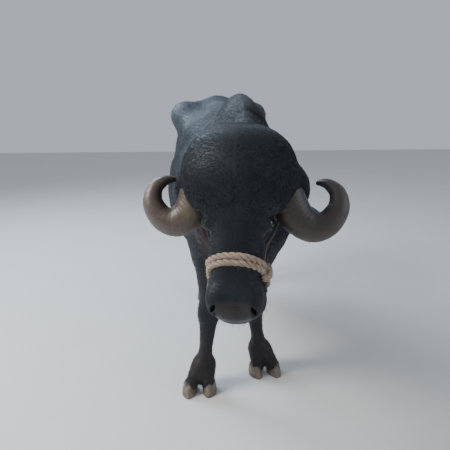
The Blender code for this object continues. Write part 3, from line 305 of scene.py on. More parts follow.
HEAD_LOFT = (
    # down, centre, half width, front, back, power front, power back
    (-0.012, -0.03, 0.080, 0.050, 0.050, 2.4, 2.0),
    (0.000, -0.03, 0.100, 0.080, 0.066, 2.4, 2.0),
    (0.025, -0.03, 0.128, 0.122, 0.092, 2.4, 2.0),
    (0.055, -0.03, 0.149, 0.150, 0.108, 2.4, 2.0),
    (0.100, -0.03, 0.167, 0.172, 0.118, 2.4, 1.9),
    (0.150, -0.03, 0.175, 0.178, 0.127, 2.4, 1.8),
    (0.190, -0.03, 0.161, 0.164, 0.132, 2.3, 1.7),
    (0.230, -0.03, 0.126, 0.136, 0.135, 2.3, 1.6),
    (0.270, -0.03, 0.095, 0.117, 0.130, 2.4, 1.5),
    (0.320, -0.03, 0.080, 0.108, 0.106, 2.6, 1.6),
    (0.380, -0.03, 0.077, 0.104, 0.078, 2.7, 1.7),
    (0.430, -0.03, 0.081, 0.100, 0.062, 2.7, 1.9),
    (0.480, -0.03, 0.085, 0.098, 0.052, 2.6, 2.1),
    (0.525, -0.03, 0.086, 0.090, 0.047, 2.5, 2.2),
    (0.555, -0.03, 0.070, 0.070, 0.038, 2.3, 2.2),
    (HEAD_LENGTH, -0.03, 0.040, 0.040, 0.020, 2.0, 2.0),
)
FORE_PROFILE = (
    # z, half width, half length
    (0.80, 0.066, 0.115),
    (0.68, 0.060, 0.090),
    (0.58, 0.052, 0.070),
    (0.50, 0.047, 0.057),
    (0.445, 0.049, 0.055),
    (0.40, 0.051, 0.056),
    (0.35, 0.043, 0.047),
    (0.28, 0.036, 0.040),
    (0.20, 0.036, 0.041),
    (0.15, 0.051, 0.053),
    (0.11, 0.053, 0.052),
    (0.085, 0.046, 0.045),
)
HIND_PROFILE = (
    (0.68, 0.062, 0.115),
    (0.60, 0.050, 0.085),
    (0.54, 0.043, 0.066),
    (0.48, 0.043, 0.060),
    (0.42, 0.041, 0.053),
    (0.35, 0.036, 0.045),
    (0.25, 0.034, 0.041),
    (0.18, 0.037, 0.044),
    (0.14, 0.046, 0.050),
    (0.105, 0.047, 0.048),
    (0.085, 0.042, 0.042),
)
SPINE = (
    # x, y, z, radius
    (0, -0.66, WITHERS_Z - 0.085, 0.036),
    (0, -0.52, WITHERS_Z - 0.050, 0.036),
    (0, -0.40, WITHERS_Z - 0.044, 0.036),
    (0, -0.20, WITHERS_Z - 0.060, 0.034),
    (0, 0.05, LOIN_Z - 0.034, 0.032),
    (0, 0.25, LOIN_Z - 0.024, 0.032),
    (0, 0.36, CROUP_Z - 0.080, 0.034),
    (0, 0.47, CROUP_Z - 0.060, 0.034),
    (0, 0.60, CROUP_Z - 0.072, 0.034),
    (0, 0.74, 1.332, 0.034),
    (0, 0.88, 1.292, 0.032),
)
TAIL_PATH = (
    # x, y, z, radius
    (0.000, 0.870, 1.312, 0.034),
    (0.000, 0.925, 1.285, 0.033),
    (0.000, 0.968, 1.225, 0.030),
    (0.001, 0.990, 1.120, 0.025),
    (0.003, 0.997, 0.950, 0.019),
    (0.006, 0.994, 0.780, 0.015),
    (0.009, 0.990, 0.640, 0.012),
)
UDDER_AT = (0.0, 0.475, 0.665)
UDDER_SIZE = (0.095, 0.135, 0.085)


def trunk_forms():
    """The barrel, breast, back line, hips and rump."""
    rows = [(y, 0, mid, half, top - mid, mid - bottom, up, down)
            for y, top, bottom, mid, half, up, down in TRUNK]
    forms = [
        loft("body", 1, 0, 2, rows, 0.05),
        chain("body", SPINE, 0.08),
        bulge("body", (0, -0.64, 0.76), (0.085, 0.13, 0.11), 0.08),
    ]
    for side in SIDES:
        hook = (side * HIP_HALF, 0.435, 1.326)
        pin = (side * 0.098, 0.915, 1.190)
        forms += [
            bulge("body", (side * 0.122, -0.46, 1.06), (0.060, 0.125, 0.210), 0.09, (-14, -9 * side, 0)),
            bulge("body", (side * 0.142, -0.655, 0.935), (0.064, 0.085, 0.10), 0.07),
            bulge("body", (side * 0.148, -0.45, 0.84), (0.070, 0.150, 0.13), 0.07),
            chain("body", ((0, 0.47, 1.345, 0.050), (side * 0.12, 0.462, 1.350, 0.046),
                           (*hook, 0.038)), 0.11),
            chain("body", ((*hook, 0.034), (side * 0.168, 0.68, 1.250, 0.034), (*pin, 0.038)), 0.10),
            chain("body", ((*hook, 0.034), (side * 0.180, 0.24, 1.252, 0.028),
                           (side * 0.150, 0.0, 1.225, 0.020)), 0.11),
            bulge("body", (side * 0.150, 0.60, 1.00), (0.100, 0.200, 0.24), 0.08, (12, 0, 0)),
            bulge("body", (side * 0.110, 0.79, 0.98), (0.082, 0.115, 0.23), 0.07, (-6, 0, 0)),
            bulge("body", (side * 0.128, 0.700, 0.750), (0.062, 0.130, 0.170), 0.06),
            bulge("body", (side * 0.312, 0.290, 1.190), (0.045, 0.075, 0.080), 0.09, carved=True),
        ]
    return forms


def neck_forms():
    """The neck, with its crest, the muscle on its sides and the windpipe below."""
    rows = [(y, x, mid, half, top - mid, mid - bottom, up, down)
            for y, x, top, bottom, mid, half, up, down in reversed(NECK)]
    forms = [loft("body", 1, 0, 2, rows, 0.09)]
    for side in SIDES:
        back, front = (side * 0.10, -0.62, 1.02), (side * 0.075 - 0.05, -1.02, 1.10)
        forms.append(rod("body", back, front, (0.065, 0.060), 0.06))
    return forms + [rod("body", (-0.045, -0.98, 1.02), (0, -0.72, 0.86), (0.055, 0.060), 0.08)]


def limb(side, joints, heights, profile, soft):
    """A leg's loft down its joints, with the pastern's two digits that end in the claws."""
    rows = []
    zs = np.array(heights[::-1])
    places = np.array([joints[name] for name in reversed(list(joints))])
    for z, half, length in reversed(profile):
        x, y = smooth_curve(np.array([z]), zs, places)[0]
        rows.append((z, side * x, y, half, length, length, 2.2, 2.2))
    forms = [loft("body", 2, 0, 1, rows, soft)]
    x, y = joints["foot"]
    top_x, top_y = joints["fetlock"]
    for digit in SIDES:
        start = (side * top_x + digit * 0.022, top_y, 0.135)
        end = (side * x + digit * 0.039, y - 0.004, 0.052)
        forms.append(rod("body", start, end, (0.039, 0.034), 0.022))
    return forms


def leg_forms():
    """All four legs, with the knees, hocks and the muscle that ties them to the trunk."""
    forms = []
    for side in SIDES:
        fore, hind = FORE_LEGS[side], HIND_LEGS[side]
        forms += limb(side, fore, (0.78, 0.43, 0.14, 0.0), FORE_PROFILE, 0.07)
        knee_x, knee_y = fore["knee"]
        elbow_x, elbow_y = fore["elbow"]
        forms += [
            bulge("body", (side * knee_x, knee_y - 0.018, 0.425), (0.046, 0.040, 0.055), 0.03),
            rod("body", (side * elbow_x, elbow_y + 0.055, 0.775), (side * elbow_x, elbow_y + 0.030, 0.68),
                (0.045, 0.040), 0.06),
        ]
        forms += limb(side, hind, (0.78, 0.48, 0.14, 0.0), HIND_PROFILE, 0.07)
        hock_x, hock_y = hind["hock"]
        thigh_x, thigh_y = hind["thigh"]
        forms += [
            rod("body", (side * 0.172, 0.475, 0.80), (side * (hock_x + 0.01), hock_y - 0.045, 0.555),
                (0.088, 0.044), 0.06),
            rod("body", (side * hock_x, hock_y + 0.052, 0.535),
                (side * (thigh_x - 0.01), thigh_y + 0.175, 0.80), (0.018, 0.040), 0.035),
            bulge("body", (side * hock_x, hock_y + 0.048, 0.525), (0.026, 0.024, 0.032), 0.025),
            bulge("body", (side * 0.185, 0.445, 0.775), (0.060, 0.070, 0.095), 0.08),
        ]
    return forms


def head_forms():
    """The domed forehead, brows, cheeks, jaw, muzzle and lips."""
    rows = [(down, 0, centre, half, front, back, p_front, p_back)
            for down, centre, half, front, back, p_front, p_back in HEAD_LOFT]
    forms = [loft("head", 2, 0, 1, rows, 0.06)]
    forms += [
        bulge("head", (0, 0.030, 0.105), (0.150, 0.106, 0.108), 0.05),
        bulge("head", (0, -0.088, 0.512), (0.046, 0.028, 0.040), 0.025),
        bulge("head", (0, 0.026, 0.532), (0.058, 0.034, 0.034), 0.020),
    ]
    for side in SIDES:
        eye_x, eye_y, eye_z = EYE_AT
        forms += [
            bulge("head", (side * 0.092, 0.050, 0.184), (0.054, 0.066, 0.066), 0.030),
            bulge("head", (side * 0.149, -0.052, 0.168), (0.060, 0.054, 0.070), 0.040),
            bulge("head", (side * (eye_x - 0.008), eye_y - 0.006, eye_z - 0.012),
                  (0.034, 0.036, 0.038), 0.022),
            rod("head", (side * 0.070, 0.010, 0.300), (side * 0.053, 0.018, 0.390), (0.024, 0.020), 0.025),
            bulge("head", (side * 0.068, -0.085, 0.255), (0.037, 0.066, 0.092), 0.035),
            rod("head", (side * 0.048, -0.135, 0.255), (side * 0.034, -0.088, 0.440), (0.030, 0.022), 0.030),
            bulge("head", (side * 0.056, 0.040, 0.492), (0.030, 0.028, 0.038), 0.025),
            bulge("head", (side * 0.062, -0.014, 0.500), (0.028, 0.038, 0.044), 0.020),
            bulge("head", (side * 0.118, 0.030, 0.305), (0.030, 0.050, 0.050), 0.030, carved=True),
        ]
    return forms


# Finer forms that only the skin has: ears, lids, nostrils, lips, tail, udder

EAR_ROOT = np.array((0.112, -0.118, 0.214))
EAR_HEADING = np.array((0.78, -0.58, 0.33))
EAR_OPENS = np.array((0.15, 0.35, 0.92))
EAR_SAG = 0.015
EAR_WALL = 0.0055
EAR_STATIONS = 44
EAR_AROUND = 20
EAR_PROFILE = (
    # share of the length, half width, depth of the cup, hollow (-1 is a full stalk)
    (-0.10, 0.012, 0.95, -1.0),
    (0.00, 0.019, 0.95, -1.0),
    (0.10, 0.0275, 0.90, -0.6),
    (0.20, 0.036, 0.82, 0.2),
    (0.34, 0.047, 0.72, 0.80),
    (0.54, 0.054, 0.60, 0.90),
    (0.75, 0.044, 0.50, 0.90),
    (0.91, 0.025, 0.40, 0.85),
    (1.00, 0.007, 0.30, 0.60),
)


def ear_axes():
    """Which way the ear points, opens and spreads, in the head's frame."""
    heading = unit(EAR_HEADING)
    opens = unit(EAR_OPENS - heading * (EAR_OPENS @ heading))
    return heading, opens, np.cross(heading, opens)


def ear_rings(side):
    """Sections of the ear: a stalk that opens into a cupped leaf, thinner at its rim."""
    heading, opens, wide = ear_axes()
    table = np.array(EAR_PROFILE)
    shares = np.linspace(table[0, 0], 1.0, EAR_STATIONS)
    rows = smooth_curve(shares, table[:, 0], table[:, 1:])
    outward = np.linspace(math.pi, 0, EAR_AROUND)
    rings = []
    for share, (half, cup, hollow) in zip(shares, rows):
        centre = EAR_ROOT + heading * (share * EAR_LENGTH) + np.array((0, 0, EAR_SAG)) * share**2
        half *= 1 + 0.018 * math.sin(31 * share)
        ring = []
        for angles, wall, bend in ((outward, 0.0, 1.0), (outward[::-1], EAR_WALL, hollow)):
            thick = wall * (0.45 + 0.55 * np.sin(angles))
            across = np.cos(angles) * (half - thick)
            behind = np.sin(angles) * (half - thick) * cup * bend
            lift = wall * 0.25 * np.abs(np.cos(angles)) * (bend > 0)
            ring.append(centre + np.outer(across, wide) - np.outer(behind - lift, opens))
        rings.append(from_head(np.concatenate(ring) * (side, 1, 1)))
    return np.array(rings)


def ear_stalk(side):
    heading, _, _ = ear_axes()
    ends = [(EAR_ROOT + heading * EAR_LENGTH * share) * (side, 1, 1) for share in (-0.18, 0.12)]
    return rod("head", ends[0], ends[1], (0.024, 0.0245), 0.020)


EYE_LOOKS = np.array((0.90, 0.42, 0.06))
EYE_ALONG = np.array((0.30, -0.62, 0.55))
LID_HALF_LENGTH = 0.0175
LID_HALF_HEIGHT = 0.0088
LID_SHELL = 0.0042
BALL_SHRINK = 0.0008
LID_FOLDS = (
    # distance from the slit, first and last turn in half circles, half width
    (0.0115, 0.18, 0.86, 0.0022),
    (0.019, 0.22, 0.80, 0.0020),
    (0.0115, 1.22, 1.80, 0.0020),
)


def eye_axes(side):
    """Which way the eye looks, the line of its corners, and across the lids, for one side."""
    looks = unit(EYE_LOOKS)
    along = unit(EYE_ALONG - looks * (EYE_ALONG @ looks))
    across = np.cross(looks, along)
    return [axis * (side, 1, 1) for axis in (looks, along, across)]


def lid_line(side, grow, radius, angles):
    """Places round the lids' opening, on a ball of the given radius about the eye."""
    looks, along, across = eye_axes(side)
    centre = np.array(EYE_AT) * (side, 1, 1)
    places = []
    for angle in angles:
        lean = math.cos(angle) * (LID_HALF_LENGTH + grow)
        rise = math.sin(angle) * (LID_HALF_HEIGHT + grow) * abs(math.sin(angle)) ** 0.35
        depth = math.sqrt(max(radius**2 - lean**2 - rise**2, 0.0))
        places.append(centre + looks * depth + along * lean + across * rise)
    return places


def lid_opening(side):
    """The lens-shaped slit between the lids, open from within the eyeball outwards."""
    looks, along, across = eye_axes(side)
    centre = np.array(EYE_AT) * (side, 1, 1)

    def value(points):
        local = points - centre
        lean, rise = local @ along, local @ across
        share = np.clip(np.abs(lean) / LID_HALF_LENGTH, 0, 1)
        height = LID_HALF_HEIGHT * (1 - share**2) ** 0.75
        slit = np.maximum(np.abs(rise) - height, np.abs(lean) - LID_HALF_LENGTH)
        return np.maximum(slit, 0.006 - local @ looks)

    return Form("head", centre - 0.05, centre + 0.05, value, 0.0022, True)


def eye_forms(side):
    """Swollen lid rims, the slit and the folds above and below."""
    around = np.linspace(0, 2 * math.pi, 25)
    rim = [(*place, 0.0030) for place in lid_line(side, 0.0030, EYE_RADIUS + LID_SHELL - 0.0012, around)]
    shell = np.full(3, EYE_RADIUS + LID_SHELL)
    forms = [bulge("head", np.array(EYE_AT) * (side, 1, 1), shell, 0.016)]
    forms += [chain("head", rim, 0.004), lid_opening(side)]
    for grow, low, high, size in LID_FOLDS:
        angles = np.linspace(low, high, 9) * math.pi
        fold = [(*place, size) for place in lid_line(side, grow, EYE_RADIUS + 0.0095, angles)]
        forms.append(chain("head", fold, 0.007, True))
    return forms


MOUTH_CENTRE = (0.0, -0.030, 0.470)
MOUTH_REACH = 112.0


def surface_reach(origins, ways, forms, far=0.30):
    """How far along each way, in the head's frame, the flesh ends."""
    inner, outer = np.zeros(len(origins)), np.full(len(origins), far)
    for _ in range(18):
        middle = (inner + outer) / 2
        out = field(from_head(origins + ways * middle[:, None]), forms) > 0
        outer, inner = np.where(out, middle, outer), np.where(out, inner, middle)
    return (inner + outer) / 2


def mouth_form(forms, stations=41):
    """The line between the lips, from one corner of the mouth to the other."""
    angles = np.radians(np.linspace(-MOUTH_REACH, MOUTH_REACH, stations))
    ways = unit(np.stack([np.sin(angles), 0.26 * np.cos(angles) - 0.08, np.cos(angles)], 1))
    origins = np.tile(MOUTH_CENTRE, (stations, 1))
    places = origins + ways * surface_reach(origins, ways, forms)[:, None]
    fade = np.sin(np.linspace(0, math.pi, stations)) ** 0.3
    knots = [(*place, 0.0012 + 0.0014 * size) for place, size in zip(places, fade)]
    return chain("head", knots, 0.0035, True)


def nostril_forms(side):
    """The opening's comma and its passage, with a soft wing round it."""
    wing = [(0.072, 0.038, 0.505), (0.074, 0.043, 0.519), (0.068, 0.044, 0.533), (0.058, 0.045, 0.540)]
    return [
        chain("head", [(side * x, y, z, 0.0055) for x, y, z in wing], 0.010),
        bulge("head", (side * 0.059, 0.056, 0.521), (0.0046, 0.015, 0.0145), 0.004, (18, side * 24, 0), True),
        rod("head", (side * 0.059, 0.054, 0.521), (side * 0.040, 0.022, 0.490), (0.0055, 0.004), 0.004, True),
        rod("head", (side * 0.063, 0.052, 0.508), (side * 0.069, 0.042, 0.497), (0.0035, 0.002), 0.003, True),
    ]


def tail_form():
    table = np.array(TAIL_PATH)
    rows = smooth_curve(np.linspace(0, 1, 18), np.linspace(0, 1, len(table)), table)
    return chain("body", rows, 0.02)


def udder_forms():
    """A small bag between the thighs, with four teats."""
    x, y, z = UDDER_AT
    forms = [bulge("body", UDDER_AT, UDDER_SIZE, 0.03)]
    for side in SIDES:
        for along in (-0.055, 0.045):
            top = (x + side * 0.042, y + along, z - 0.055)
            tip = (x + side * 0.042, y + along, z - 0.128)
            forms.append(rod("body", top, tip, (0.015, 0.0105), 0.012))
    return forms


BODY_GROOVES = (
    # knots of a shallow skin fold on each side: x without its sign, y, z and its half width
    ((0.085, -0.735, 1.10, 0.004), (0.10, -0.72, 0.98, 0.006), (0.085, -0.715, 0.86, 0.006),
     (0.05, -0.71, 0.77, 0.004)),
    ((0.125, -0.30, 0.76, 0.004), (0.185, -0.285, 0.83, 0.008), (0.215, -0.27, 0.92, 0.005)),
    ((0.235, 0.33, 0.88, 0.004), (0.205, 0.33, 0.80, 0.007), (0.165, 0.34, 0.73, 0.006)),
)


def fold_forms():
    forms = []
    for side in SIDES:
        for knots in BODY_GROOVES:
            forms.append(chain("body", [(side * x, y, z, size) for x, y, z, size in knots], 0.022, True))
    return forms


def skin_forms():
    """All the forms of the skin in their order."""
    flesh = trunk_forms() + neck_forms() + leg_forms() + head_forms()
    forms = flesh + [tail_form()] + udder_forms() + fold_forms()
    for side in SIDES:
        forms += [ear_stalk(side)] + eye_forms(side) + nostril_forms(side)
    return flesh, forms + [mouth_form(flesh)]


def wrinkles(points):
    """Unevenness of living skin: slack folds across the neck and throat, creases on the pasterns,
    lines over the muzzle, and a slight wobble everywhere."""
    x, y, z = points.T
    face = to_head(points)
    depth = 0.0007 * waves(points, 7.0, 3) + 0.0004 * waves(points, 22.0, 4)
    neck = step(y, -1.00, -0.90) * step(y, -0.52, -0.66) * step(z, 0.66, 0.80)
    lean = y + 0.30 * z + 0.018 * waves(points, 3.0, 5)
    depth += 0.0016 * neck * np.sin(lean * 105) * (0.6 + 0.4 * waves(points, 4.0, 6))
    throat = step(y, -0.98, -0.86) * step(y, -0.60, -0.70) * step(z, 1.00, 0.90)
    depth += 0.0022 * throat * np.sin(lean * 150 + 1.0)
    pastern = step(z, 0.17, 0.145) * step(z, 0.075, 0.095)
    depth += 0.0010 * pastern * np.sin(z * 420 + 2 * waves(points, 6.0, 8))
    snout = step(face[:, 2], 0.415, 0.435) * step(face[:, 2], 0.487, 0.465) * step(face[:, 1], 0.0, 0.03)
    bend = face[:, 2] + 1.1 * face[:, 0] ** 2
    depth += 0.0005 * snout * np.sin(bend * 520 + 1.2 * waves(points, 9.0, 9))
    return depth


def skin_field(points, forms, inset):
    """The skin's distance: the forms and their wrinkles, a coat's depth inside the solids."""
    return field(points, forms) + wrinkles(points) + inset


# Sampled surfaces

CORNERS = np.array([(i, j, k) for i in (0, 1) for j in (0, 1) for k in (0, 1)])
EDGES = [(a, b) for a in range(8) for b in range(a + 1, 8) if np.abs(CORNERS[a] - CORNERS[b]).sum() == 1]
LOT_CELLS = 16
COARSE = 4
NEAR_SHARE = 0.75


def sampled(low, high, cell, forms, inset):
    """The skin's distance on a grid. Only cells near the surface are sampled finely."""
    low, high = np.array(low, float), np.array(high, float)
    block = cell * COARSE
    blocks = np.ceil((high - low) / block).astype(int)
    rough_axes = [low[i] + block * np.arange(blocks[i] + 1) for i in range(3)]
    rough_points = np.stack(np.meshgrid(*rough_axes, indexing="ij"), -1).reshape(-1, 3)
    rough = skin_field(rough_points, forms, inset).reshape(blocks + 1)
    inside, near = rough < 0, rough < NEAR_SHARE * block
    lowest, highest = inside[:-1, :-1, :-1].copy(), near[:-1, :-1, :-1].copy()
    for i, j, k in CORNERS:
        window = (slice(i, blocks[0] + i), slice(j, blocks[1] + j), slice(k, blocks[2] + k))
        lowest &= inside[window]
        highest |= near[window]
    grown = highest & ~lowest
    for axis in range(3):
        grown = grown | np.roll(grown, 1, axis) | np.roll(grown, -1, axis)
    axes = [low[i] + cell * np.arange(blocks[i] * COARSE + 1) for i in range(3)]
    values = np.where(lowest, -FAR, FAR).astype(np.float32)
    for axis in range(3):
        values = np.repeat(values, COARSE, axis)
        grown = np.repeat(grown, COARSE, axis)
    values = np.pad(values, ((0, 1),) * 3, mode="edge")
    wanted = np.pad(grown, ((0, 1),) * 3, mode="edge")
    for axis in range(3):
        wanted |= np.roll(wanted, 1, axis)
    picked = np.array(np.nonzero(wanted))
    picked = picked[:, np.lexsort(picked[::-1] // LOT_CELLS)]
    points = np.stack([axis[i] for axis, i in zip(axes, picked)], -1)
    values[tuple(picked)] = skin_field(points, forms, inset)
    for axis in range(3):
        ends = [slice(None)] * 3
        for end in (0, -1):
            ends[axis] = end
            values[tuple(ends)] = cell / 2
    return low, cell, values


def netted(low, cell, values):
    """Points and quads of the zero surface: one point in each cell that the surface crosses."""
    inside = values < 0
    shape = np.array(values.shape) - 1
    count = np.zeros(shape, np.int8)
    for i, j, k in CORNERS:
        count += inside[i:shape[0] + i, j:shape[1] + j, k:shape[2] + k]
    cells = np.array(np.nonzero((count > 0) & (count < 8)))
    corner = np.stack([values[tuple(cells + offset[:, None])] for offset in CORNERS])
    total, hits = np.zeros((cells.shape[1], 3)), np.zeros(cells.shape[1])
    for a, b in EDGES:
        crossed = (corner[a] < 0) != (corner[b] < 0)
        t = corner[a] / np.where(crossed, corner[a] - corner[b], 1)
        total += np.where(crossed[:, None], CORNERS[a] + t[:, None] * (CORNERS[b] - CORNERS[a]), 0)
        hits += crossed
    points = low + cell * (cells.T + total / hits[:, None])
    number = np.full(shape, -1, np.int32)
    number[tuple(cells)] = np.arange(cells.shape[1])
    quads = []
    for axis in range(3):
        u, v = (axis + 1) % 3, (axis + 2) % 3
        here = [slice(1, -1)] * 3
        here[axis] = slice(0, -1)
        there = list(here)
        there[axis] = slice(1, None)
        first, second = inside[tuple(here)], inside[tuple(there)]
        spots = np.array(np.nonzero(first != second))
        leaving = first[tuple(spots)]
        spots[u] += 1
        spots[v] += 1
        ring = []
        for du, dv in ((-1, -1), (0, -1), (0, 0), (-1, 0)):
            place = spots.copy()
            place[u] += du
            place[v] += dv
            ring.append(number[tuple(place)])
        ring = np.stack(ring, 1)
        quads.append(np.where(leaving[:, None], ring, ring[:, ::-1]))
    return points, np.concatenate(quads)


# Mesh tools

def mesh_of(name, points, faces):
    """A mesh of equal faces, all triangles or all quads, from arrays."""
    mesh = bpy.data.meshes.new(name)
    faces = np.asarray(faces, np.int32)
    mesh.vertices.add(len(points))
    mesh.vertices.foreach_set("co", np.asarray(points, np.float32).ravel())
    mesh.loops.add(faces.size)
    mesh.loops.foreach_set("vertex_index", faces.ravel())
    mesh.polygons.add(len(faces))
    mesh.polygons.foreach_set("loop_start", np.arange(0, faces.size, faces.shape[1], dtype=np.int32))
    mesh.update(calc_edges=True)
    return mesh


def read(items, name, kind=np.float32):
    """Three numbers of each item."""
    values = np.zeros(len(items) * 3, kind)
    items.foreach_get(name, values)
    return values.reshape(-1, 3)


def shown(name, mesh, paint, replaced=()):
    """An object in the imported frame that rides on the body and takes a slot's finish."""
    mesh.transform(Matrix.Translation(SHIFT))
    mesh.materials.clear()
    mesh.materials.append(paint)
    mesh.shade_smooth()
    obj = bpy.data.objects.new(name, mesh)
    bpy.context.scene.collection.objects.link(obj)
    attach(obj, "root")
    if replaced:
        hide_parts(*replaced)


def trimmed(points, quads, keep_above):
    """One of the nets as a bmesh, cut at the join and rid of loose scraps."""
    mesh = bmesh.new()
    data = mesh_of("net", points, quads)
    mesh.from_mesh(data)
    bpy.data.meshes.remove(data)
    geometry = mesh.verts[:] + mesh.edges[:] + mesh.faces[:]
    cut = JOIN_Y + (HALF_JOIN if keep_above else -HALF_JOIN)
    bmesh.ops.bisect_plane(mesh, geom=geometry, plane_co=(0, cut, 0), plane_no=(0, 1, 0),
                           clear_outer=not keep_above, clear_inner=keep_above, dist=1e-6)
    unseen, shells = set(mesh.verts), []
    while unseen:
        shell, front = set(), [unseen.pop()]
        while front:
            vert = front.pop()
            shell.add(vert)
            fresh = [edge.other_vert(vert) for edge in vert.link_edges]
            fresh = [other for other in fresh if other in unseen]
            unseen.difference_update(fresh)
            front.extend(fresh)
        shells.append(shell)
    largest = max(shells, key=len)
    bmesh.ops.delete(mesh, geom=[v for v in mesh.verts if v not in largest], context="VERTS")
    data = bpy.data.meshes.new("net")
    mesh.to_mesh(data)
    mesh.free()
    return data


SETTLE_ROUNDS = 4
SETTLE_PROBE = 0.0004
SETTLE_STEP = 0.0016


def settled(points, forms):
    """Moves the head's points onto the skin's surface along its slope."""
    for _ in range(SETTLE_ROUNDS):
        here = skin_field(points, forms, HEAD_INSET)
        rises = [skin_field(points + offset, forms, HEAD_INSET) - here for offset in np.eye(3) * SETTLE_PROBE]
        slope = np.stack(rises, 1) / SETTLE_PROBE
        move = -here[:, None] * slope / np.maximum((slope**2).sum(1), 0.05)[:, None]
        size = np.linalg.norm(move, axis=1, keepdims=True)
        points = points + move * np.minimum(1, SETTLE_STEP / (size + 1e-9))
    return points


FINE_PLACES = (
    # in the head's frame, without the side's sign: centre and reach of what is sampled finest
    ((EYE_AT[0] + 0.012, EYE_AT[1] + 0.005, EYE_AT[2]), 0.040),
    ((0.058, 0.056, 0.519), 0.030),
    ((0.040, 0.020, 0.552), 0.038),
    ((0.074, -0.030, 0.505), 0.036),
)
FINE_BEFORE_Y = -1.0


def refine(mesh, forms):
    """Splits the faces round the eyes, nostrils and lips once, and settles their points."""
    def fine(point):
        local = to_head(np.array([point]))[0]
        local[0] = abs(local[0])
        return any(np.linalg.norm(local - centre) < reach for centre, reach in FINE_PLACES)

    middles = [(f, f.calc_center_median()) for f in mesh.faces]
    near = [f for f, middle in middles if middle.y < FINE_BEFORE_Y and fine(middle)]
    edges = list({edge for face in near for edge in face.edges})
    bmesh.ops.subdivide_edges(mesh, edges=edges, cuts=1, use_grid_fill=True)
    bmesh.ops.triangulate(mesh, faces=[f for f in mesh.faces if len(f.verts) > 4])
    mesh.verts.ensure_lookup_table()
    picked = [v for v in mesh.verts if v.co.y < FINE_BEFORE_Y and fine(v.co)]
    points = settled(np.array([v.co for v in picked]), forms)
    for vert, point in zip(picked, points):
        vert.co = point


def skin_mesh(forms):
    """The body's and the head's nets, bridged round the neck into one closed skin."""
    body_low, body_high = (-0.40, JOIN_Y - 0.05, 0.0), (0.40, 1.06, 1.50)
    head_low, head_high = (-0.42, -1.42, 0.62), (0.34, JOIN_Y + 0.04, 1.42)
    body = netted(*sampled(body_low, body_high, BODY_CELL, forms, BODY_INSET))
    head = netted(*sampled(head_low, head_high, HEAD_CELL, forms, HEAD_INSET))
    mesh = bmesh.new()
    for points, quads, above in ((*body, True), (*head, False)):
        part = trimmed(points, quads, above)
        mesh.from_mesh(part)
        bpy.data.meshes.remove(part)
    rims = [edge for edge in mesh.edges if edge.is_boundary]
    bmesh.ops.bridge_loops(mesh, edges=rims)
    refine(mesh, forms)
    bmesh.ops.triangulate(mesh, faces=[f for f in mesh.faces if len(f.verts) > 4])
    bmesh.ops.recalc_face_normals(mesh, faces=mesh.faces)
    data = bpy.data.meshes.new("hide")
    mesh.to_mesh(data)
    mesh.free()
    return data


def ring_faces(rings, closed=False):
    """Triangles between equal rings, with a fan at each end unless they run round in a loop."""
    count, around = rings.shape[:2]
    last = count if closed else count - 1
    i, j = np.meshgrid(np.arange(last), np.arange(around), indexing="ij")
    a, b = i * around + j, i * around + (j + 1) % around
    c, d = (i + 1) % count * around + (j + 1) % around, (i + 1) % count * around + j
    faces = [np.stack([a, b, c], -1).reshape(-1, 3), np.stack([a, c, d], -1).reshape(-1, 3)]
    points = rings.reshape(-1, 3)
    if not closed:
        j = np.arange(around)
        ends = np.array([rings[0].mean(0), rings[-1].mean(0)])
        first = np.full(around, len(points))
        faces.append(np.stack([first, (j + 1) % around, j], 1))
        base = (count - 1) * around
        faces.append(np.stack([first + 1, base + j, base + (j + 1) % around], 1))
        points = np.concatenate([points, ends])
    return points, np.concatenate(faces)


def faced_out(data):
    """The mesh with every face turned outwards."""
    mesh = bmesh.new()
    mesh.from_mesh(data)
    bmesh.ops.recalc_face_normals(mesh, faces=mesh.faces)
    mesh.to_mesh(data)
    mesh.free()
    return data


def tube_mesh(name, rings, closed=False):
    """A closed mesh through rings, faces out, its points in the rings' order."""
    return faced_out(mesh_of(name, *ring_faces(rings, closed)))


def joined(name, meshes):
    """Several meshes in one, with their attributes."""
    whole = bmesh.new()
    for mesh in meshes:
        whole.from_mesh(mesh)
        bpy.data.meshes.remove(mesh)
    data = bpy.data.meshes.new(name)
    whole.to_mesh(data)
    whole.free()
    return data


def mark(mesh, name, values):
    """A number on every point, for the material to read."""
    layer = mesh.attributes.new(name, "FLOAT", "POINT")
    layer.data.foreach_set("value", np.asarray(values, np.float32))


def frames_along(path, closed=False):
    """Tangent, normal and binormal at each point of a path, turned as little as possible."""
    path = np.asarray(path, float)
    if closed:
        tangents = np.roll(path, -1, 0) - np.roll(path, 1, 0)
    else:
        tangents = np.gradient(path, axis=0)
    tangents = unit(tangents)
    normal = np.cross(tangents[0], (0.0, 0.0, 1.0))
    if np.linalg.norm(normal) < 0.1:
        normal = np.cross(tangents[0], (1.0, 0.0, 0.0))
    normals = []
    for tangent in tangents:
        normal = unit(normal - tangent * (normal @ tangent))
        normals.append(normal)
    normals = np.array(normals)
    return tangents, normals, np.cross(tangents, normals)


# Markings of skin and coat, from the place alone

def markings(points):
    """How much each place has of the wet nose pad, the brown lower leg, the painted bluish sky sheen on the
    top of the back and the reddish fold of the breast."""
    x, y, z = points.T
    face = to_head(points)
    pad = step(face[:, 2], 0.490, 0.506) * step(face[:, 2], 0.566, 0.552) * step(face[:, 1], 0.010, 0.034)
    pad *= step(np.abs(face[:, 0]), 0.056, 0.044)
    leg = step(z + 0.05 * waves(points, 6.0, 31), 0.62, 0.12)
    # painted highlight: marks the top of the back behind the withers for a bluish sky sheen painted into the
    # colour
    back = step(z + 0.06 * waves(points, 4.0, 32), 1.02, 1.36) * step(y, -0.40, -0.12)
    fold = step(np.abs(x + 0.165), 0.065, 0.020) * step(y, -0.54, -0.62) * step(y, -0.92, -0.86)
    fold *= step(z, 0.66, 0.76) * step(z, 1.00, 0.90)
    return {"pad": pad, "leg": leg, "back": back, "fold": fold}


def mark_all(mesh, points):
    for name, values in markings(points).items():
        mark(mesh, name, values)


# Node helpers

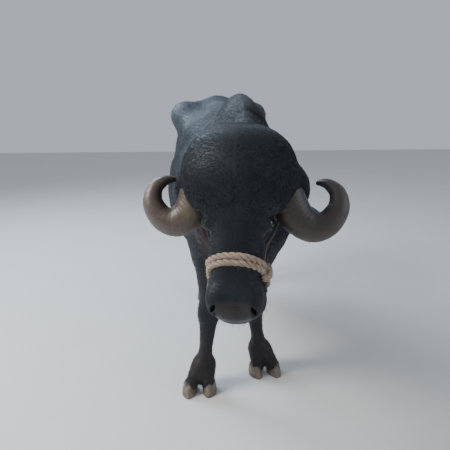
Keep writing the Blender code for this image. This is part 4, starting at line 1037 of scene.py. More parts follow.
def node(tree, kind, inputs=None, **settings):
    """A shader node. An input is a value or another node's socket."""
    made = tree.nodes.new(kind)
    for name, value in settings.items():
        setattr(made, name, value)
    for key, value in (inputs or {}).items():
        if isinstance(value, bpy.types.NodeSocket):
            tree.links.new(value, made.inputs[key])
        else:
            made.inputs[key].default_value = value
    return made


def paint_tree(name):
    made = bpy.data.materials.new(name)
    made.use_nodes = True
    tree = made.node_tree
    return made, tree, tree.nodes["Principled BSDF"]


def place_of(tree, stretch=(1, 1, 1)):
    where = node(tree, "ShaderNodeTexCoord").outputs["Object"]
    return node(tree, "ShaderNodeMapping", {"Vector": where, "Scale": stretch}).outputs[0]


def noise(tree, where, scale, detail=3.0, rough=0.55, twist=0.0):
    inputs = {"Vector": where, "Scale": scale, "Detail": detail, "Roughness": rough, "Distortion": twist}
    return node(tree, "ShaderNodeTexNoise", inputs).outputs["Fac"]


def cells(tree, where, scale, feature="DISTANCE_TO_EDGE"):
    inputs = {"Vector": where, "Scale": scale}
    return node(tree, "ShaderNodeTexVoronoi", inputs, feature=feature).outputs["Distance"]


def spread(tree, value, low, high, to_low=0.0, to_high=1.0):
    inputs = {"Value": value, "From Min": low, "From Max": high, "To Min": to_low, "To Max": to_high}
    return node(tree, "ShaderNodeMapRange", inputs).outputs[0]


def maths(tree, operation, a, b):
    return node(tree, "ShaderNodeMath", {0: a, 1: b}, operation=operation).outputs[0]


def mixed(tree, factor, a, b):
    """Two colours, or sockets of them, mixed."""
    a, b = ((*value, 1) if isinstance(value, tuple) else value for value in (a, b))
    return node(tree, "ShaderNodeMix", {"Factor": factor, 6: a, 7: b}, data_type="RGBA").outputs[2]


def marked(tree, name):
    return node(tree, "ShaderNodeAttribute", attribute_name=name).outputs["Fac"]


def bumped(tree, shader, height, distance, strength):
    bump = node(tree, "ShaderNodeBump", {"Height": height, "Distance": distance, "Strength": strength})
    tree.links.new(bump.outputs[0], shader.inputs["Normal"])


def finish(shader, **values):
    """Sets a shader's own sockets, each named with underscores for its spaces."""
    for name, value in values.items():
        shader.inputs[name.replace("_", " ")].default_value = value


SLATE = (0.0036, 0.0045, 0.0054)
SLATE_LIGHT = (0.0084, 0.0102, 0.0120)
BROWN = (0.0210, 0.0110, 0.0075)
# painted highlight: the bluish sky sheen painted onto the top of the back
PAINTED_SKY_SHEEN = (0.068, 0.088, 0.102)
FOLD_RED = (0.034, 0.012, 0.010)
PAD_DARK = (0.0220, 0.0160, 0.0130)
SHEEN_TINT = (0.62, 0.78, 1.0, 1)
GLOSS_TINT = (0.80, 0.90, 1.0, 1)


def hide_colour(tree, where):
    """The colour that skin and coat share: slate black, browner down the legs, with a painted bluish sky
    sheen on the back.
    """
    mottle = noise(tree, where, 16.0, 4.0, 0.6)
    cloud = noise(tree, where, 3.2, 3.0)
    colour = mixed(tree, spread(tree, mottle, 0.38, 0.70), SLATE, SLATE_LIGHT)
    colour = mixed(tree, spread(tree, cloud, 0.45, 0.75, 0.0, 0.35), colour, BROWN)
    leg = maths(tree, "MULTIPLY", marked(tree, "leg"), spread(tree, mottle, 0.30, 0.65, 0.25, 1.0))
    colour = mixed(tree, leg, colour, BROWN)
    # painted highlight: a bluish sky sheen painted onto the top of the back
    sheen_share = maths(tree, "MULTIPLY", marked(tree, "back"), spread(tree, cloud, 0.35, 0.62, 0.15, 0.75))
    colour = mixed(tree, sheen_share, colour, PAINTED_SKY_SHEEN)
    return mixed(tree, marked(tree, "fold"), colour, FOLD_RED)


def hide_paint():
    """Skin under sparse hair: fine creased leather, wet and darker on the nose pad."""
    made, tree, shader = paint_tree("hide")
    where = place_of(tree)
    pad = marked(tree, "pad")
    colour = mixed(tree, pad, hide_colour(tree, where), PAD_DARK)
    grain = cells(tree, where, 300.0)
    pores = noise(tree, where, 520.0, 2.0)
    dirt = spread(tree, noise(tree, where, 95.0, 4.0, 0.7), 0.60, 0.78)
    colour = mixed(tree, maths(tree, "MULTIPLY", dirt, 0.15), colour, (0.075, 0.062, 0.052))
    tree.links.new(colour, shader.inputs["Base Color"])
    dry = spread(tree, noise(tree, where, 30.0), 0.3, 0.7, 0.50, 0.66)
    wet = maths(tree, "MULTIPLY", pad, 0.26)
    tree.links.new(maths(tree, "SUBTRACT", dry, wet), shader.inputs["Roughness"])
    finish(shader, Sheen_Weight=0.06, Sheen_Roughness=0.40, Sheen_Tint=SHEEN_TINT)
    finish(shader, Specular_IOR_Level=0.40, Specular_Tint=GLOSS_TINT)
    cobbles = cells(tree, where, 240.0, "SMOOTH_F1")
    creases = maths(tree, "MULTIPLY", spread(tree, grain, 0.0, 0.25), 0.6)
    skin = maths(tree, "ADD", creases, maths(tree, "MULTIPLY", pores, 0.5))
    mounds = maths(tree, "SUBTRACT", 1.0, cobbles)
    height = node(tree, "ShaderNodeMix", {"Factor": pad, 2: skin, 3: mounds}).outputs[0]
    bumped(tree, shader, height, 0.0006, 0.5)
    return made


def coat_paint():
    """Hair in the skin's own colours, a little lighter or browner from lock to lock."""
    made, tree, shader = paint_tree("hair")
    where = place_of(tree)
    colour = hide_colour(tree, where)
    streak = noise(tree, where, 230.0, 2.0, 0.5)
    tone = marked(tree, "tone")
    colour = mixed(tree, spread(tree, tone, 0.45, 0.95, 0.0, 0.8), colour, (0.0150, 0.0190, 0.0240))
    colour = mixed(tree, spread(tree, tone, 0.40, 0.05, 0.0, 0.7), colour, (0.0015, 0.0021, 0.0027))
    colour = mixed(tree, spread(tree, streak, 0.62, 0.74, 0.0, 0.40), colour, (0.032, 0.029, 0.027))
    tree.links.new(colour, shader.inputs["Base Color"])
    tree.links.new(spread(tree, streak, 0.3, 0.7, 0.62, 0.42), shader.inputs["Roughness"])
    finish(shader, Sheen_Weight=0.06, Sheen_Roughness=0.35, Sheen_Tint=SHEEN_TINT)
    finish(shader, Specular_IOR_Level=0.35, Specular_Tint=GLOSS_TINT)
    bumped(tree, shader, noise(tree, where, 900.0, 1.0), 0.0003, 0.5)
    return made


# The coat

TUFT_ARC = 0.003
COAT_BAND = 0.021


def zone_of(points):
    """Head, neck, trunk or leg, as a number from 0 to 3."""
    face = to_head(points)
    head = (face[:, 1] > -0.150 - 0.17 * face[:, 2]) & (points[:, 1] < -0.84)
    neck = ~head & (points[:, 1] < -0.62)
    leg = ~head & ~neck & (points[:, 2] < 0.66)
    return np.select([head, neck, leg], [0, 1, 3], 2)


def bare(points):
    """True where no hair grows: in the eyes, nostrils and mouth, on the nose pad, under the ropes."""
    face = to_head(points)
    side_face = face.copy()
    side_face[:, 0] = np.abs(face[:, 0])
    eye = np.linalg.norm(side_face - np.array(EYE_AT), axis=1) < EYE_RADIUS + 0.0055
    nostril = np.linalg.norm(side_face - (0.058, 0.054, 0.519), axis=1) < 0.022
    pad = markings(points)["pad"] > 0.35
    band = np.abs(face[:, 2] + LOOP_SLOPE * (face[:, 1] - LOOP_FRONT) - sum(NOSE_LOOPS) / 2) < COAT_BAND
    band &= (face[:, 1] > -0.16) & (points[:, 1] < -0.9)
    return eye | nostril | pad | band


def lie(points, normals):
    """Which way the hair lies: back and down over the body, down the legs and the breast, and on
    the brow in arcs from the parting out and round each boss."""
    x, y, z = points.T
    face = to_head(points)
    hx, hy, hz = face.T
    flow = np.stack([0 * x, 1 + 0 * x, -0.9 * np.abs(normals[:, 0]) - 0.1], 1)
    front = (step(-normals[:, 1], 0.25, 0.8) * (y > -0.95))[:, None]
    flow = flow * (1 - front) + front * np.array((0, 0.25, -1.0))
    leg = step(z, 0.78, 0.58)[:, None]
    flow = flow * (1 - leg) + leg * np.array((0, 0.15, -1.0))
    side = np.where(hx < 0, -1.0, 1.0)
    qx, qz = hx - side * 0.060, hz - 0.160
    round_boss = unit(np.stack([-side * qz, 0 * hx, side * qx], 1))
    outward = unit(np.stack([hx, 0 * hx, hz - 0.125], 1))
    brow = round_boss * 0.75 + outward * 0.45 + (0, 0, 0.15)
    over = np.array((0, -1.0, -0.35)) + np.stack([0.4 * hx / 0.15, 0 * hx, 0 * hx], 1)
    top = step(hz, 0.055, 0.0)[:, None]
    brow = brow * (1 - top) + over * top
    below = step(hz, 0.215, 0.275)[:, None]
    brow = brow * (1 - below) + below * np.stack([0.25 * side, 0 * hx, 1 + 0 * hx], 1)
    cheek = (step(hy, -0.01, -0.06) * step(hz, 0.08, 0.16))[:, None]
    brow = brow * (1 - cheek) + cheek * np.array((0, -0.75, 0.55))
    on_head = (zone_of(points) == 0)[:, None]
    return unit(np.where(on_head, brow @ HEAD_TURN.T, flow))


def unwrapped(points):
    """Places on an unwrap of the skin: head, neck and trunk rolled out round their own axes, and each
    leg round its own, side by side."""
    face = to_head(points)
    zone = zone_of(points)
    turn = np.arctan2(face[:, 0], face[:, 1] + 0.03) / (2 * math.pi) + 0.5
    head = np.stack([turn, (face[:, 2] + 0.05) / 0.66], 1)
    turn = np.arctan2(points[:, 0], points[:, 2] - 1.0) / (2 * math.pi) + 0.5
    trunk = np.stack([turn, (points[:, 1] + 1.05) / 2.15], 1)
    right, hind = points[:, 0] < 0, points[:, 1] > 0.2
    centre_x = np.where(right, -1, 1) * np.where(hind, 0.11, 0.14)
    centre_y = np.where(hind, 0.73, -0.41)
    turn = np.arctan2(points[:, 0] - centre_x, points[:, 1] - centre_y) / (2 * math.pi) + 0.5
    leg = np.stack([(turn + right + 2 * hind) / 4, points[:, 2] / 0.70], 1)
    spot = np.select([(zone == 0)[:, None], (zone == 3)[:, None]], [head, leg], trunk)
    return 0.01 + 0.975 * np.clip(spot, 0, 1)


def tuft_points(roots, normals, flows, lengths, widths, lifts):
    """Closed slender tufts: a three-sided root sunk in the skin, a three-sided middle and a tip."""
    count = len(roots)
    flat = unit(flows - normals * (flows * normals).sum(1, keepdims=True))
    side = np.cross(normals, flat)
    lengths, widths, lifts = (value[:, None] for value in (lengths, widths, lifts))
    points = np.zeros((count, 7, 3))
    for ring, (share, rise, size, sunk) in enumerate(((0.0, 0.0, 1.0, 0.8), (0.5, 0.8, 0.85, 0.0))):
        centre = roots + flat * lengths * share + normals * (lengths * lifts * rise - widths * sunk)
        points[:, 3 * ring] = centre - side * widths * size / 2
        points[:, 3 * ring + 1] = centre + normals * widths * size * 0.38
        points[:, 3 * ring + 2] = centre + side * widths * size / 2
    points[:, 6] = roots + flat * lengths + normals * lengths * lifts
    faces = np.array([
        (0, 1, 2), (0, 3, 4), (0, 4, 1), (1, 4, 5), (1, 5, 2),
        (2, 5, 3), (2, 3, 0), (3, 6, 4), (4, 6, 5), (5, 6, 3)])
    return points.reshape(-1, 3), (faces[None] + 7 * np.arange(count)[:, None, None]).reshape(-1, 3)


def bake_map(mesh, faces, roots, patch):
    """Gives each tuft a small patch of the bake map, at its root's place on the skin's unwrap."""
    spots = (unwrapped(roots)[:, None] + np.array(patch)[None]).reshape(-1, 2)
    layer = mesh.uv_layers.new(name="OFBake")
    layer.uv.foreach_set("vector", spots[faces.ravel()].astype(np.float32).ravel())


TUFT_PATCH = np.array(((-1, 0), (0, 0.35), (1, 0), (-0.8, 1), (0, 1.25), (0.8, 1), (0, 2))) * TUFT_ARC / 2


def tuft_mesh(name, roots, *shape):
    points, faces = tuft_points(roots, *shape)
    mesh = mesh_of(name, points, faces)
    bake_map(mesh, faces, roots, TUFT_PATCH)
    mark_all(mesh, np.repeat(roots, 7, axis=0))
    return mesh


def scattered(surface, weights, count, draw):
    """Roots spread evenly over the weighted triangles, with the skin's normals there."""
    points, normals, corners, areas = surface
    chance = np.cumsum(areas * weights)
    picks = np.searchsorted(chance, chance[-1] * (np.arange(count) + draw.random(count)) / count)
    picks = np.minimum(picks, len(corners) - 1)
    a, b = draw.random((2, count))
    flip = a + b > 1
    a, b = np.where(flip, 1 - a, a), np.where(flip, 1 - b, b)
    share = np.stack([1 - a - b, a, b], 1)[:, :, None]
    return (points[corners[picks]] * share).sum(1), unit((normals[corners[picks]] * share).sum(1))


def surface_of(mesh):
    mesh.calc_loop_triangles()
    points = read(mesh.vertices, "co").astype(float)
    normals = read(mesh.vertices, "normal").astype(float)
    corners = read(mesh.loop_triangles, "vertices", np.int32)
    a, b, c = points[corners].transpose(1, 0, 2)
    return points, normals, corners, np.linalg.norm(np.cross(b - a, c - a), axis=1) / 2


def streaks(points, zone):
    """How light each tuft is, from 0 to 1: fine arcs round the bosses on the brow and long streaks
    down the body."""
    face = to_head(points)
    side = np.where(face[:, 0] < 0, -1.0, 1.0)
    reach = np.hypot(face[:, 0] - side * 0.060, face[:, 2] - 0.160) + 0.0022 * waves(points, 16.0, 91)
    arcs = np.sin(reach * 640) * 0.5 + np.sin(reach * 1130 + 1.0) * 0.3 + np.sin(reach * 377 + 2.0) * 0.35
    stretch = {0: (70, 70, 20), 1: (60, 16, 45), 2: (60, 14, 50), 3: (60, 60, 12)}[zone]
    lines = 0.7 * waves(points * stretch, 0.45, 92) + 0.5 * waves(points * stretch, 1.1, 93)
    dome = step(face[:, 2], 0.26, 0.20) * (zone == 0)
    patchy = 0.30 * waves(points, 5.0, 94)
    return np.clip(0.5 + 0.36 * (dome * arcs + (1 - 0.6 * dome) * lines) + patchy * 0.5, 0, 1)


COATS = (
    # name, zone, what it covers, tufts, length, width, lift
    ("coat_brow", 0, "brow", 18500, 0.0130, 0.00110, 0.10),
    ("coat_face", 0, "face", 18500, 0.0088, 0.00085, 0.09),
    ("coat_neck", 1, "all", 18500, 0.0200, 0.00150, 0.11),
    ("coat_shoulder_right", 2, "fore right", 15800, 0.0180, 0.00150, 0.12),
    ("coat_shoulder_left", 2, "fore left", 15800, 0.0180, 0.00150, 0.12),
    ("coat_rump_right", 2, "hind right", 15800, 0.0180, 0.00150, 0.12),
    ("coat_rump_left", 2, "hind left", 15800, 0.0180, 0.00150, 0.12),
    ("coat_legs", 3, "all", 19500, 0.0130, 0.00120, 0.17),
)
TRUNK_MIDDLE_Y = 0.13
BROW_DOWN = 0.235


def coat_weights(zone, part, centres):
    """Which triangles a coat piece covers, and how thickly."""
    face = to_head(centres)
    weights = (zone_of(centres) == zone).astype(float)
    edge = BROW_DOWN + 0.016 * waves(centres, 55.0, 71)
    tests = {
        "brow": face[:, 2] < edge, "face": face[:, 2] >= edge,
        "fore": centres[:, 1] < TRUNK_MIDDLE_Y, "hind": centres[:, 1] >= TRUNK_MIDDLE_Y,
        "right": centres[:, 0] < 0, "left": centres[:, 0] >= 0,
    }
    for word in part.split():
        if word in tests:
            weights *= tests[word]
    return weights


def coat_pieces(skin, paint):
    """The short coat over the whole animal, in pieces."""
    surface = surface_of(skin)
    centres = surface[0][surface[2]].mean(1)
    for number, (name, zone, part, count, length, width, lift) in enumerate(COATS):
        draw = np.random.default_rng(100 + number)
        roots, normals = scattered(surface, coat_weights(zone, part, centres), count, draw)
        kept = ~bare(roots)
        roots, normals = roots[kept], normals[kept]
        count = len(roots)
        flows = lie(roots, normals) + (0.07 if zone == 0 else 0.11) * draw.normal(size=(count, 3))
        tone = streaks(roots, zone)
        clumps = 0.5 + 0.5 * waves(roots, 14.0, 51)
        down = to_head(roots)[:, 2]
        muzzle = step(down, 0.36, 0.47) * (zone == 0)
        fringe = step(roots[:, 2], 0.135, 0.085) * (zone == 3)
        lengths = length * draw.uniform(0.65, 1.25, count) * (0.85 + 0.3 * clumps) * (1 - 0.45 * muzzle)
        lengths *= 1 + 1.1 * fringe
        if part == "brow":
            lengths *= 1 - 0.30 * step(down, 0.17, BROW_DOWN)
        widths = width * draw.uniform(0.7, 1.3, count)
        lifts = lift * draw.uniform(0.5, 1.5, count) * (0.7 + 0.6 * tone)
        mesh = tuft_mesh(name, roots, normals, flows, lengths, widths, lifts)
        mark(mesh, "tone", np.repeat(np.clip(tone + 0.10 * draw.normal(size=count), 0, 1), 7))
        shown(name, mesh, paint)


LASHES = 46
LASH_WIDTH = 0.00055
WHISKERS = 300
WHISKER_WIDTH = 0.0005


def lashes_and_whiskers(skin, paint):
    """Lashes on the upper lids and sparse bristles on the chin and lips."""
    draw = np.random.default_rng(41)
    sets = []
    for side in SIDES:
        looks, _, across = eye_axes(side)
        upward = 1 if across[2] < 0 else -1
        up = across * upward
        angles = draw.uniform(0.10, 0.90, LASHES) * math.pi * upward
        roots = np.array(lid_line(side, 0.0020, EYE_RADIUS + LID_SHELL - 0.002, angles))
        ways = looks * 0.9 + up * 0.25 + draw.normal(size=(LASHES, 3)) * 0.16
        normals = np.tile(up, (LASHES, 1))
        lengths = draw.uniform(0.007, 0.012, LASHES)
        sets.append((from_head(roots), normals @ HEAD_TURN.T, ways @ HEAD_TURN.T, lengths,
                     np.full(LASHES, LASH_WIDTH), np.full(LASHES, -0.25)))
    surface = surface_of(skin)
    centres = surface[0][surface[2]].mean(1)
    face = to_head(centres)
    chin = (face[:, 2] > 0.47) & (face[:, 1] < 0.035) & (face[:, 1] > -0.15) & (zone_of(centres) == 0)
    roots, normals = scattered(surface, chin.astype(float), WHISKERS, draw)
    ways = lie(roots, normals) + 0.3 * draw.normal(size=(WHISKERS, 3))
    lengths = draw.uniform(0.010, 0.024, WHISKERS)
    lifts = draw.uniform(0.4, 1.0, WHISKERS)
    sets.append((roots, normals, ways, lengths, np.full(WHISKERS, WHISKER_WIDTH), lifts))
    mesh = tuft_mesh("coat_bristles", *(np.concatenate(parts) for parts in zip(*sets)))
    mark(mesh, "tone", np.full(len(mesh.vertices), 0.35))
    shown("coat_bristles", mesh, paint)


# Horns

HORN_PATH = (
    # side, front, down, half breadth, half thickness
    (0.095, -0.014, 0.150, 0.051, 0.044),
    (0.130, -0.014, 0.180, 0.053, 0.045),
    (0.146, -0.018, 0.219, 0.053, 0.044),
    (0.170, -0.021, 0.256, 0.050, 0.041),
    (0.211, -0.024, 0.278, 0.046, 0.037),
    (0.254, -0.022, 0.263, 0.039, 0.032),
    (0.281, -0.022, 0.220, 0.032, 0.027),
    (0.278, -0.028, 0.178, 0.025, 0.022),
    (0.255, -0.038, 0.153, 0.018, 0.017),
    (0.232, -0.050, 0.145, 0.012, 0.011),
    (0.216, -0.062, 0.147, 0.006, 0.006),
)
HORN_LEAN = 0.010
HORN_STATIONS = 200
HORN_AROUND = 40
GROWTH_RINGS = 26
CURL_MIDDLE = (0.214, -0.03, 0.205)


def horn_piece(side, paint):
    """A horn with uneven growth rings that fade towards a smooth tip."""
    table = np.array(HORN_PATH)
    share = np.linspace(0, 1, HORN_STATIONS)
    rows = smooth_curve(share, np.linspace(0, 1, len(table)), table)
    _, normals, binormals = frames_along(rows[:, :3])
    angles = 2 * math.pi * np.arange(HORN_AROUND) / HORN_AROUND
    centre, out_curve = rows[:, None, :3], np.cos(angles)[None, :, None]
    broad_way = np.sin(angles)[None, :, None]
    thick, broad = rows[:, None, 4:5], rows[:, None, 3:4]
    rough = centre + out_curve * thick * normals[:, None] + broad_way * broad * binormals[:, None]
    wobble = waves(rough.reshape(-1, 3), 9.0, 61 + side).reshape(rough.shape[:2])
    phase = GROWTH_RINGS * share[:, None] ** 0.85 + 0.16 * wobble + 0.10 * np.sin(40 * share[:, None])
    saw = (phase % 1.0) ** 1.6
    groove = np.exp(-((phase % 1.0) / 0.11) ** 2) + np.exp(-((1 - phase % 1.0) / 0.07) ** 2)
    groove = groove * (0.55 + 0.45 * np.sin(2.7 * np.floor(phase) + 1.0))
    fade = step(share, 0.88, 0.25)[:, None]
    swell = (0.0006 * saw - 0.0009 * groove) * fade + 0.0008 * wobble * fade
    tip = np.sqrt(np.clip(1 - np.clip((share - 0.965) / 0.035, 0, 1) ** 2, 0.0, 1))[:, None]
    size = ((rows[:, 4:5] + swell) * tip)[:, :, None], ((rows[:, 3:4] + swell) * tip)[:, :, None]
    rings = centre + out_curve * size[0] * normals[:, None] + broad_way * size[1] * binormals[:, None]
    rings[:, :, 0] += HORN_LEAN * side * np.minimum(1.0, 3 * share)[:, None]
    rings = from_head(rings.reshape(-1, 3) * (side, 1, 1)).reshape(rings.shape)
    rings[-1] = rings[-1].mean(0) + (rings[-1] - rings[-1].mean(0)) * 0.2
    name = f"horn_{SIDE_NAMES[side]}"
    mesh = tube_mesh("fine_" + name, rings)
    # how much each point faces the curl's middle, which sets the painted light inside the curl
    inward = unit(np.array(CURL_MIDDLE) - rows[:, :3])
    ways = out_curve * normals[:, None] + broad_way * binormals[:, None]
    inner = (ways * inward[:, None]).sum(-1) * 0.5 + 0.5
    mark(mesh, "along", np.concatenate([np.repeat(share, HORN_AROUND), [0, 1]]))
    mark(mesh, "groove", np.concatenate([(groove * fade).reshape(-1), [0, 0]]))
    mark(mesh, "inner", np.concatenate([inner.reshape(-1), [0.5, 0.5]]))
    shown("fine_" + name, mesh, paint, (name,))


HORN_LIT_AND_SHADED_TINTS = {
    # root, shade, inside the curl, pale outer edge: lit and shaded copies, the right horn painted paler and
    # yellower as lit, with a painted lit root and painted shade inside its curl, and a painted bluish
    # reflection inside the left horn's curl
    -1: ((0.125, 0.092, 0.056), (0.070, 0.046, 0.034), (0.024, 0.015, 0.011), (0.130, 0.115, 0.105)),
    1: ((0.040, 0.026, 0.020), (0.034, 0.024, 0.020), (0.040, 0.046, 0.055), (0.062, 0.052, 0.046)),
}


def horn_paint(name, root, shade, inside, rim):
    """Keratin in the given tints: the root's tint, which on the right horn is a painted lit base, the tint
    inside the curl, painted shade on the right horn and a painted bluish reflection on the left, paler on the
    outer edge, with fibres along it, dirt in the growth grooves and small chips."""
    made, tree, shader = paint_tree(name)
    where = place_of(tree)
    along, inner, groove = (marked(tree, word) for word in ("along", "inner", "groove"))
    fibre = noise(tree, where, 130.0, 5.0, 0.65, 0.6)
    blotch = noise(tree, where, 22.0, 4.0, 0.6)
    # the root tint fades to the shade tint along the horn; the right horn's bright root is a painted lit base
    colour = mixed(tree, spread(tree, along, 0.28, 0.52), root, shade)
    colour = mixed(tree, spread(tree, blotch, 0.42, 0.66, 0.0, 0.8), colour, shade)
    # painted light inside the curl: painted shade on the right horn, a painted bluish reflection on the left
    colour = mixed(tree, spread(tree, inner, 0.62, 0.95, 0.0, 0.95), colour, inside)
    # paler on the surface that faces away from the curl, further along the horn
    pale_edge = maths(tree, "MULTIPLY", spread(tree, inner, 0.42, 0.08), spread(tree, along, 0.25, 0.5))
    pale_edge = maths(tree, "MULTIPLY", pale_edge, spread(tree, blotch, 0.35, 0.6, 0.35, 1.0))
    colour = mixed(tree, pale_edge, colour, rim)
    speck = spread(tree, noise(tree, where, 330.0, 3.0, 0.7), 0.55, 0.68)
    colour = mixed(tree, maths(tree, "MULTIPLY", speck, 0.65), colour, (0.030, 0.020, 0.016))
    colour = mixed(tree, spread(tree, fibre, 0.42, 0.70, 0.0, 0.5), colour, (0.045, 0.032, 0.026))
    colour = mixed(tree, maths(tree, "MULTIPLY", groove, 0.45), colour, (0.022, 0.016, 0.013))
    tree.links.new(colour, shader.inputs["Base Color"])
    tree.links.new(spread(tree, fibre, 0.3, 0.7, 0.36, 0.56), shader.inputs["Roughness"])
    finish(shader, Coat_Weight=0.12, Coat_Roughness=0.35)
    fine = maths(tree, "ADD", fibre, maths(tree, "MULTIPLY", noise(tree, where, 420.0, 3.0), 0.5))
    bumped(tree, shader, fine, 0.0010, 0.5)
    return made


# Hooves

CLAW_RINGS = (
    # share of the height, share of the outline, lean of the toe
    (0.0, 1.00, 0.0),
    (0.35, 0.97, 0.006),
    (0.75, 0.88, 0.014),
    (1.0, 0.78, 0.019),
)
CLAW_HEIGHT = 0.070
HEEL_DROP = 0.030
CLAW_STATIONS = 34
CLAW_AROUND = 44
DEWCLAW_AROUND = 20


def claw_rings(x, y, inner, turn, seed):
    """Sections of one half of a cloven hoof, from its sole up, with low rings round its wall."""
    table = np.array(CLAW_RINGS)
    shares = np.concatenate([[0.0, 0.0, 0.012], np.linspace(0.04, 0.97, CLAW_STATIONS - 5), [1.0, 1.0]])
    rows = smooth_curve(shares, table[:, 0], table[:, 1:])
    angles = 2 * math.pi * np.arange(CLAW_AROUND) / CLAW_AROUND
    ahead, wide = np.cos(angles), np.sin(angles)
    spin = np.array(Matrix.Rotation(math.radians(turn), 3, "Z"))
    narrowing = 1 - 0.22 * np.maximum(0.0, ahead) ** 2
    flat = 0.86 - 0.14 * np.tanh(4 * wide * inner)
    rings = []
    for number, (share, (size, lean)) in enumerate(zip(shares, rows)):
        low_edge = {0: 0.90, 1: 0.975}.get(number, 1.0)
        top_edge = {len(shares) - 1: 0.80}.get(number, 1.0)
        size *= low_edge * top_edge
        ridge = 0.0006 * np.sin(share * 34 + seed + 1.2 * np.sin(angles * 2 + seed)) * step(share, 0.0, 0.1)
        across = wide * narrowing * flat * (CLAW_HALF_WIDTH * size + ridge)
        along = -ahead * (CLAW_LENGTH / 2 * size + ridge) + lean
        height = share * (CLAW_HEIGHT - HEEL_DROP * (1 - ahead) / 2)
        places = np.stack([across, along, height + 0 * angles], 1) @ spin.T
        rings.append(places + (x, y, 0))
    return np.array(rings), shares


def feet():
    """Each foot's name, side, joints and the way its toes point."""
    for side in SIDES:
        yield f"fore_{SIDE_NAMES[side]}", side, FORE_LEGS[side], side * 9.0
        yield f"hind_{SIDE_NAMES[side]}", side, HIND_LEGS[side], side * 7.0


def claw_pieces(paint):
    for foot, side, joints, splay in feet():
        x, y = joints["foot"]
        for digit, word in ((-side, "inner"), (side, "outer")):
            name = f"claw_{foot}_{word}"
            place = side * x + digit * 0.0440
            rings, shares = claw_rings(place, y, -digit, splay + digit * 5.0, place * 40 + y * 90)
            mesh = tube_mesh("fine_" + name, rings)
            mark(mesh, "height", np.concatenate([np.repeat(shares, CLAW_AROUND), [0, 1]]))
            shown("fine_" + name, mesh, paint, (name,))


def dewclaw_pieces(paint):
    """The small blunt horn cones behind the fetlocks."""
    way = unit(np.array((0, 0.55, -0.83)))
    across = np.array((1.0, 0, 0))
    other = np.cross(way, across)
    table = np.array(((-0.016, 0.013), (0.0, 0.0155), (0.014, 0.0130), (0.022, 0.0085), (0.0255, 0.0001)))
    shares = np.linspace(0, 1, 22)
    rows = smooth_curve(shares, np.array((0, 0.35, 0.68, 0.90, 1.0)), table)
    angles = 2 * math.pi * np.arange(DEWCLAW_AROUND) / DEWCLAW_AROUND
    circle = np.cos(angles)[:, None] * across + np.sin(angles)[:, None] * other
    for foot, side, joints, _ in feet():
        x, y = joints["fetlock"]
        for digit, word in ((-side, "inner"), (side, "outer")):
            name = f"dewclaw_{foot}_{word}"
            base = np.array((side * x + digit * 0.030, y + 0.046, 0.122))
            size = rows[:, 1] * (1 + 0.02 * np.sin(shares * 40))
            rings = base + way * rows[:, 0][:, None, None] + circle[None] * size[:, None, None]
            mesh = tube_mesh("fine_" + name, rings)
            mark(mesh, "height", np.concatenate([np.repeat(1 - shares, DEWCLAW_AROUND), [1, 0]]))
            shown("fine_" + name, mesh, paint, (name,))


def claw_paint():
    """Grey-beige hoof horn, streaked down its wall, darker by the coronet, scuffed at its edge."""
    made, tree, shader = paint_tree("hoof")
    where = place_of(tree)
    streaks = noise(tree, place_of(tree, (1, 1, 0.12)), 150.0, 4.0, 0.6)
    blotch = noise(tree, where, 30.0, 4.0, 0.6)
    height = marked(tree, "height")
    colour = mixed(tree, spread(tree, blotch, 0.35, 0.65), (0.122, 0.096, 0.072), (0.196, 0.156, 0.118))
    colour = mixed(tree, spread(tree, streaks, 0.45, 0.72, 0.0, 0.75), colour, (0.048, 0.040, 0.034))
    colour = mixed(tree, spread(tree, height, 0.70, 1.0, 0.0, 0.75), colour, (0.040, 0.029, 0.024))
    colour = mixed(tree, spread(tree, height, 0.10, 0.0, 0.0, 0.5), colour, (0.130, 0.115, 0.095))
    tree.links.new(colour, shader.inputs["Base Color"])
    tree.links.new(spread(tree, streaks, 0.3, 0.7, 0.45, 0.70), shader.inputs["Roughness"])
    bumped(tree, shader, maths(tree, "ADD", streaks, maths(tree, "MULTIPLY", blotch, 0.6)), 0.0008, 0.6)
    return made


# Eyes

EYE_STATIONS = 46
EYE_AROUND = 48


def eye_piece(side, paint):
    """The eyeball, rung by rung from the cornea back, with the cornea a little proud."""
    looks, along, across = eye_axes(side)
    polar = np.linspace(0.02, math.pi - 0.02, EYE_STATIONS)
    angles = 2 * math.pi * np.arange(EYE_AROUND) / EYE_AROUND
    radius = EYE_RADIUS - BALL_SHRINK + 0.0009 * np.exp(-(polar / 0.62) ** 4)
    ahead = looks * (np.cos(polar) * radius)[:, None, None]
    spokes = np.cos(angles)[:, None] * along + np.sin(angles)[:, None] * across
    rings = np.array(EYE_AT) * (side, 1, 1) + ahead + spokes[None] * (np.sin(polar) * radius)[:, None, None]
    rings = from_head(rings.reshape(-1, 3)).reshape(rings.shape)
    name = f"eye_{SIDE_NAMES[side]}"
    mesh = tube_mesh("fine_" + name, rings)
    lean = np.sin(polar)[:, None] * np.cos(angles)[None]
    rise = np.sin(polar)[:, None] * np.sin(angles)[None]
    mark(mesh, "polar", np.concatenate([np.repeat(polar, EYE_AROUND), [0, math.pi]]))
    oval = np.sqrt((lean / 0.40) ** 2 + (rise / 0.20) ** 2)
    mark(mesh, "pupil", np.concatenate([np.where(polar[:, None] < 1.5, oval, 9).reshape(-1), [0, 9]]))
    shown("fine_" + name, mesh, paint, (name,))


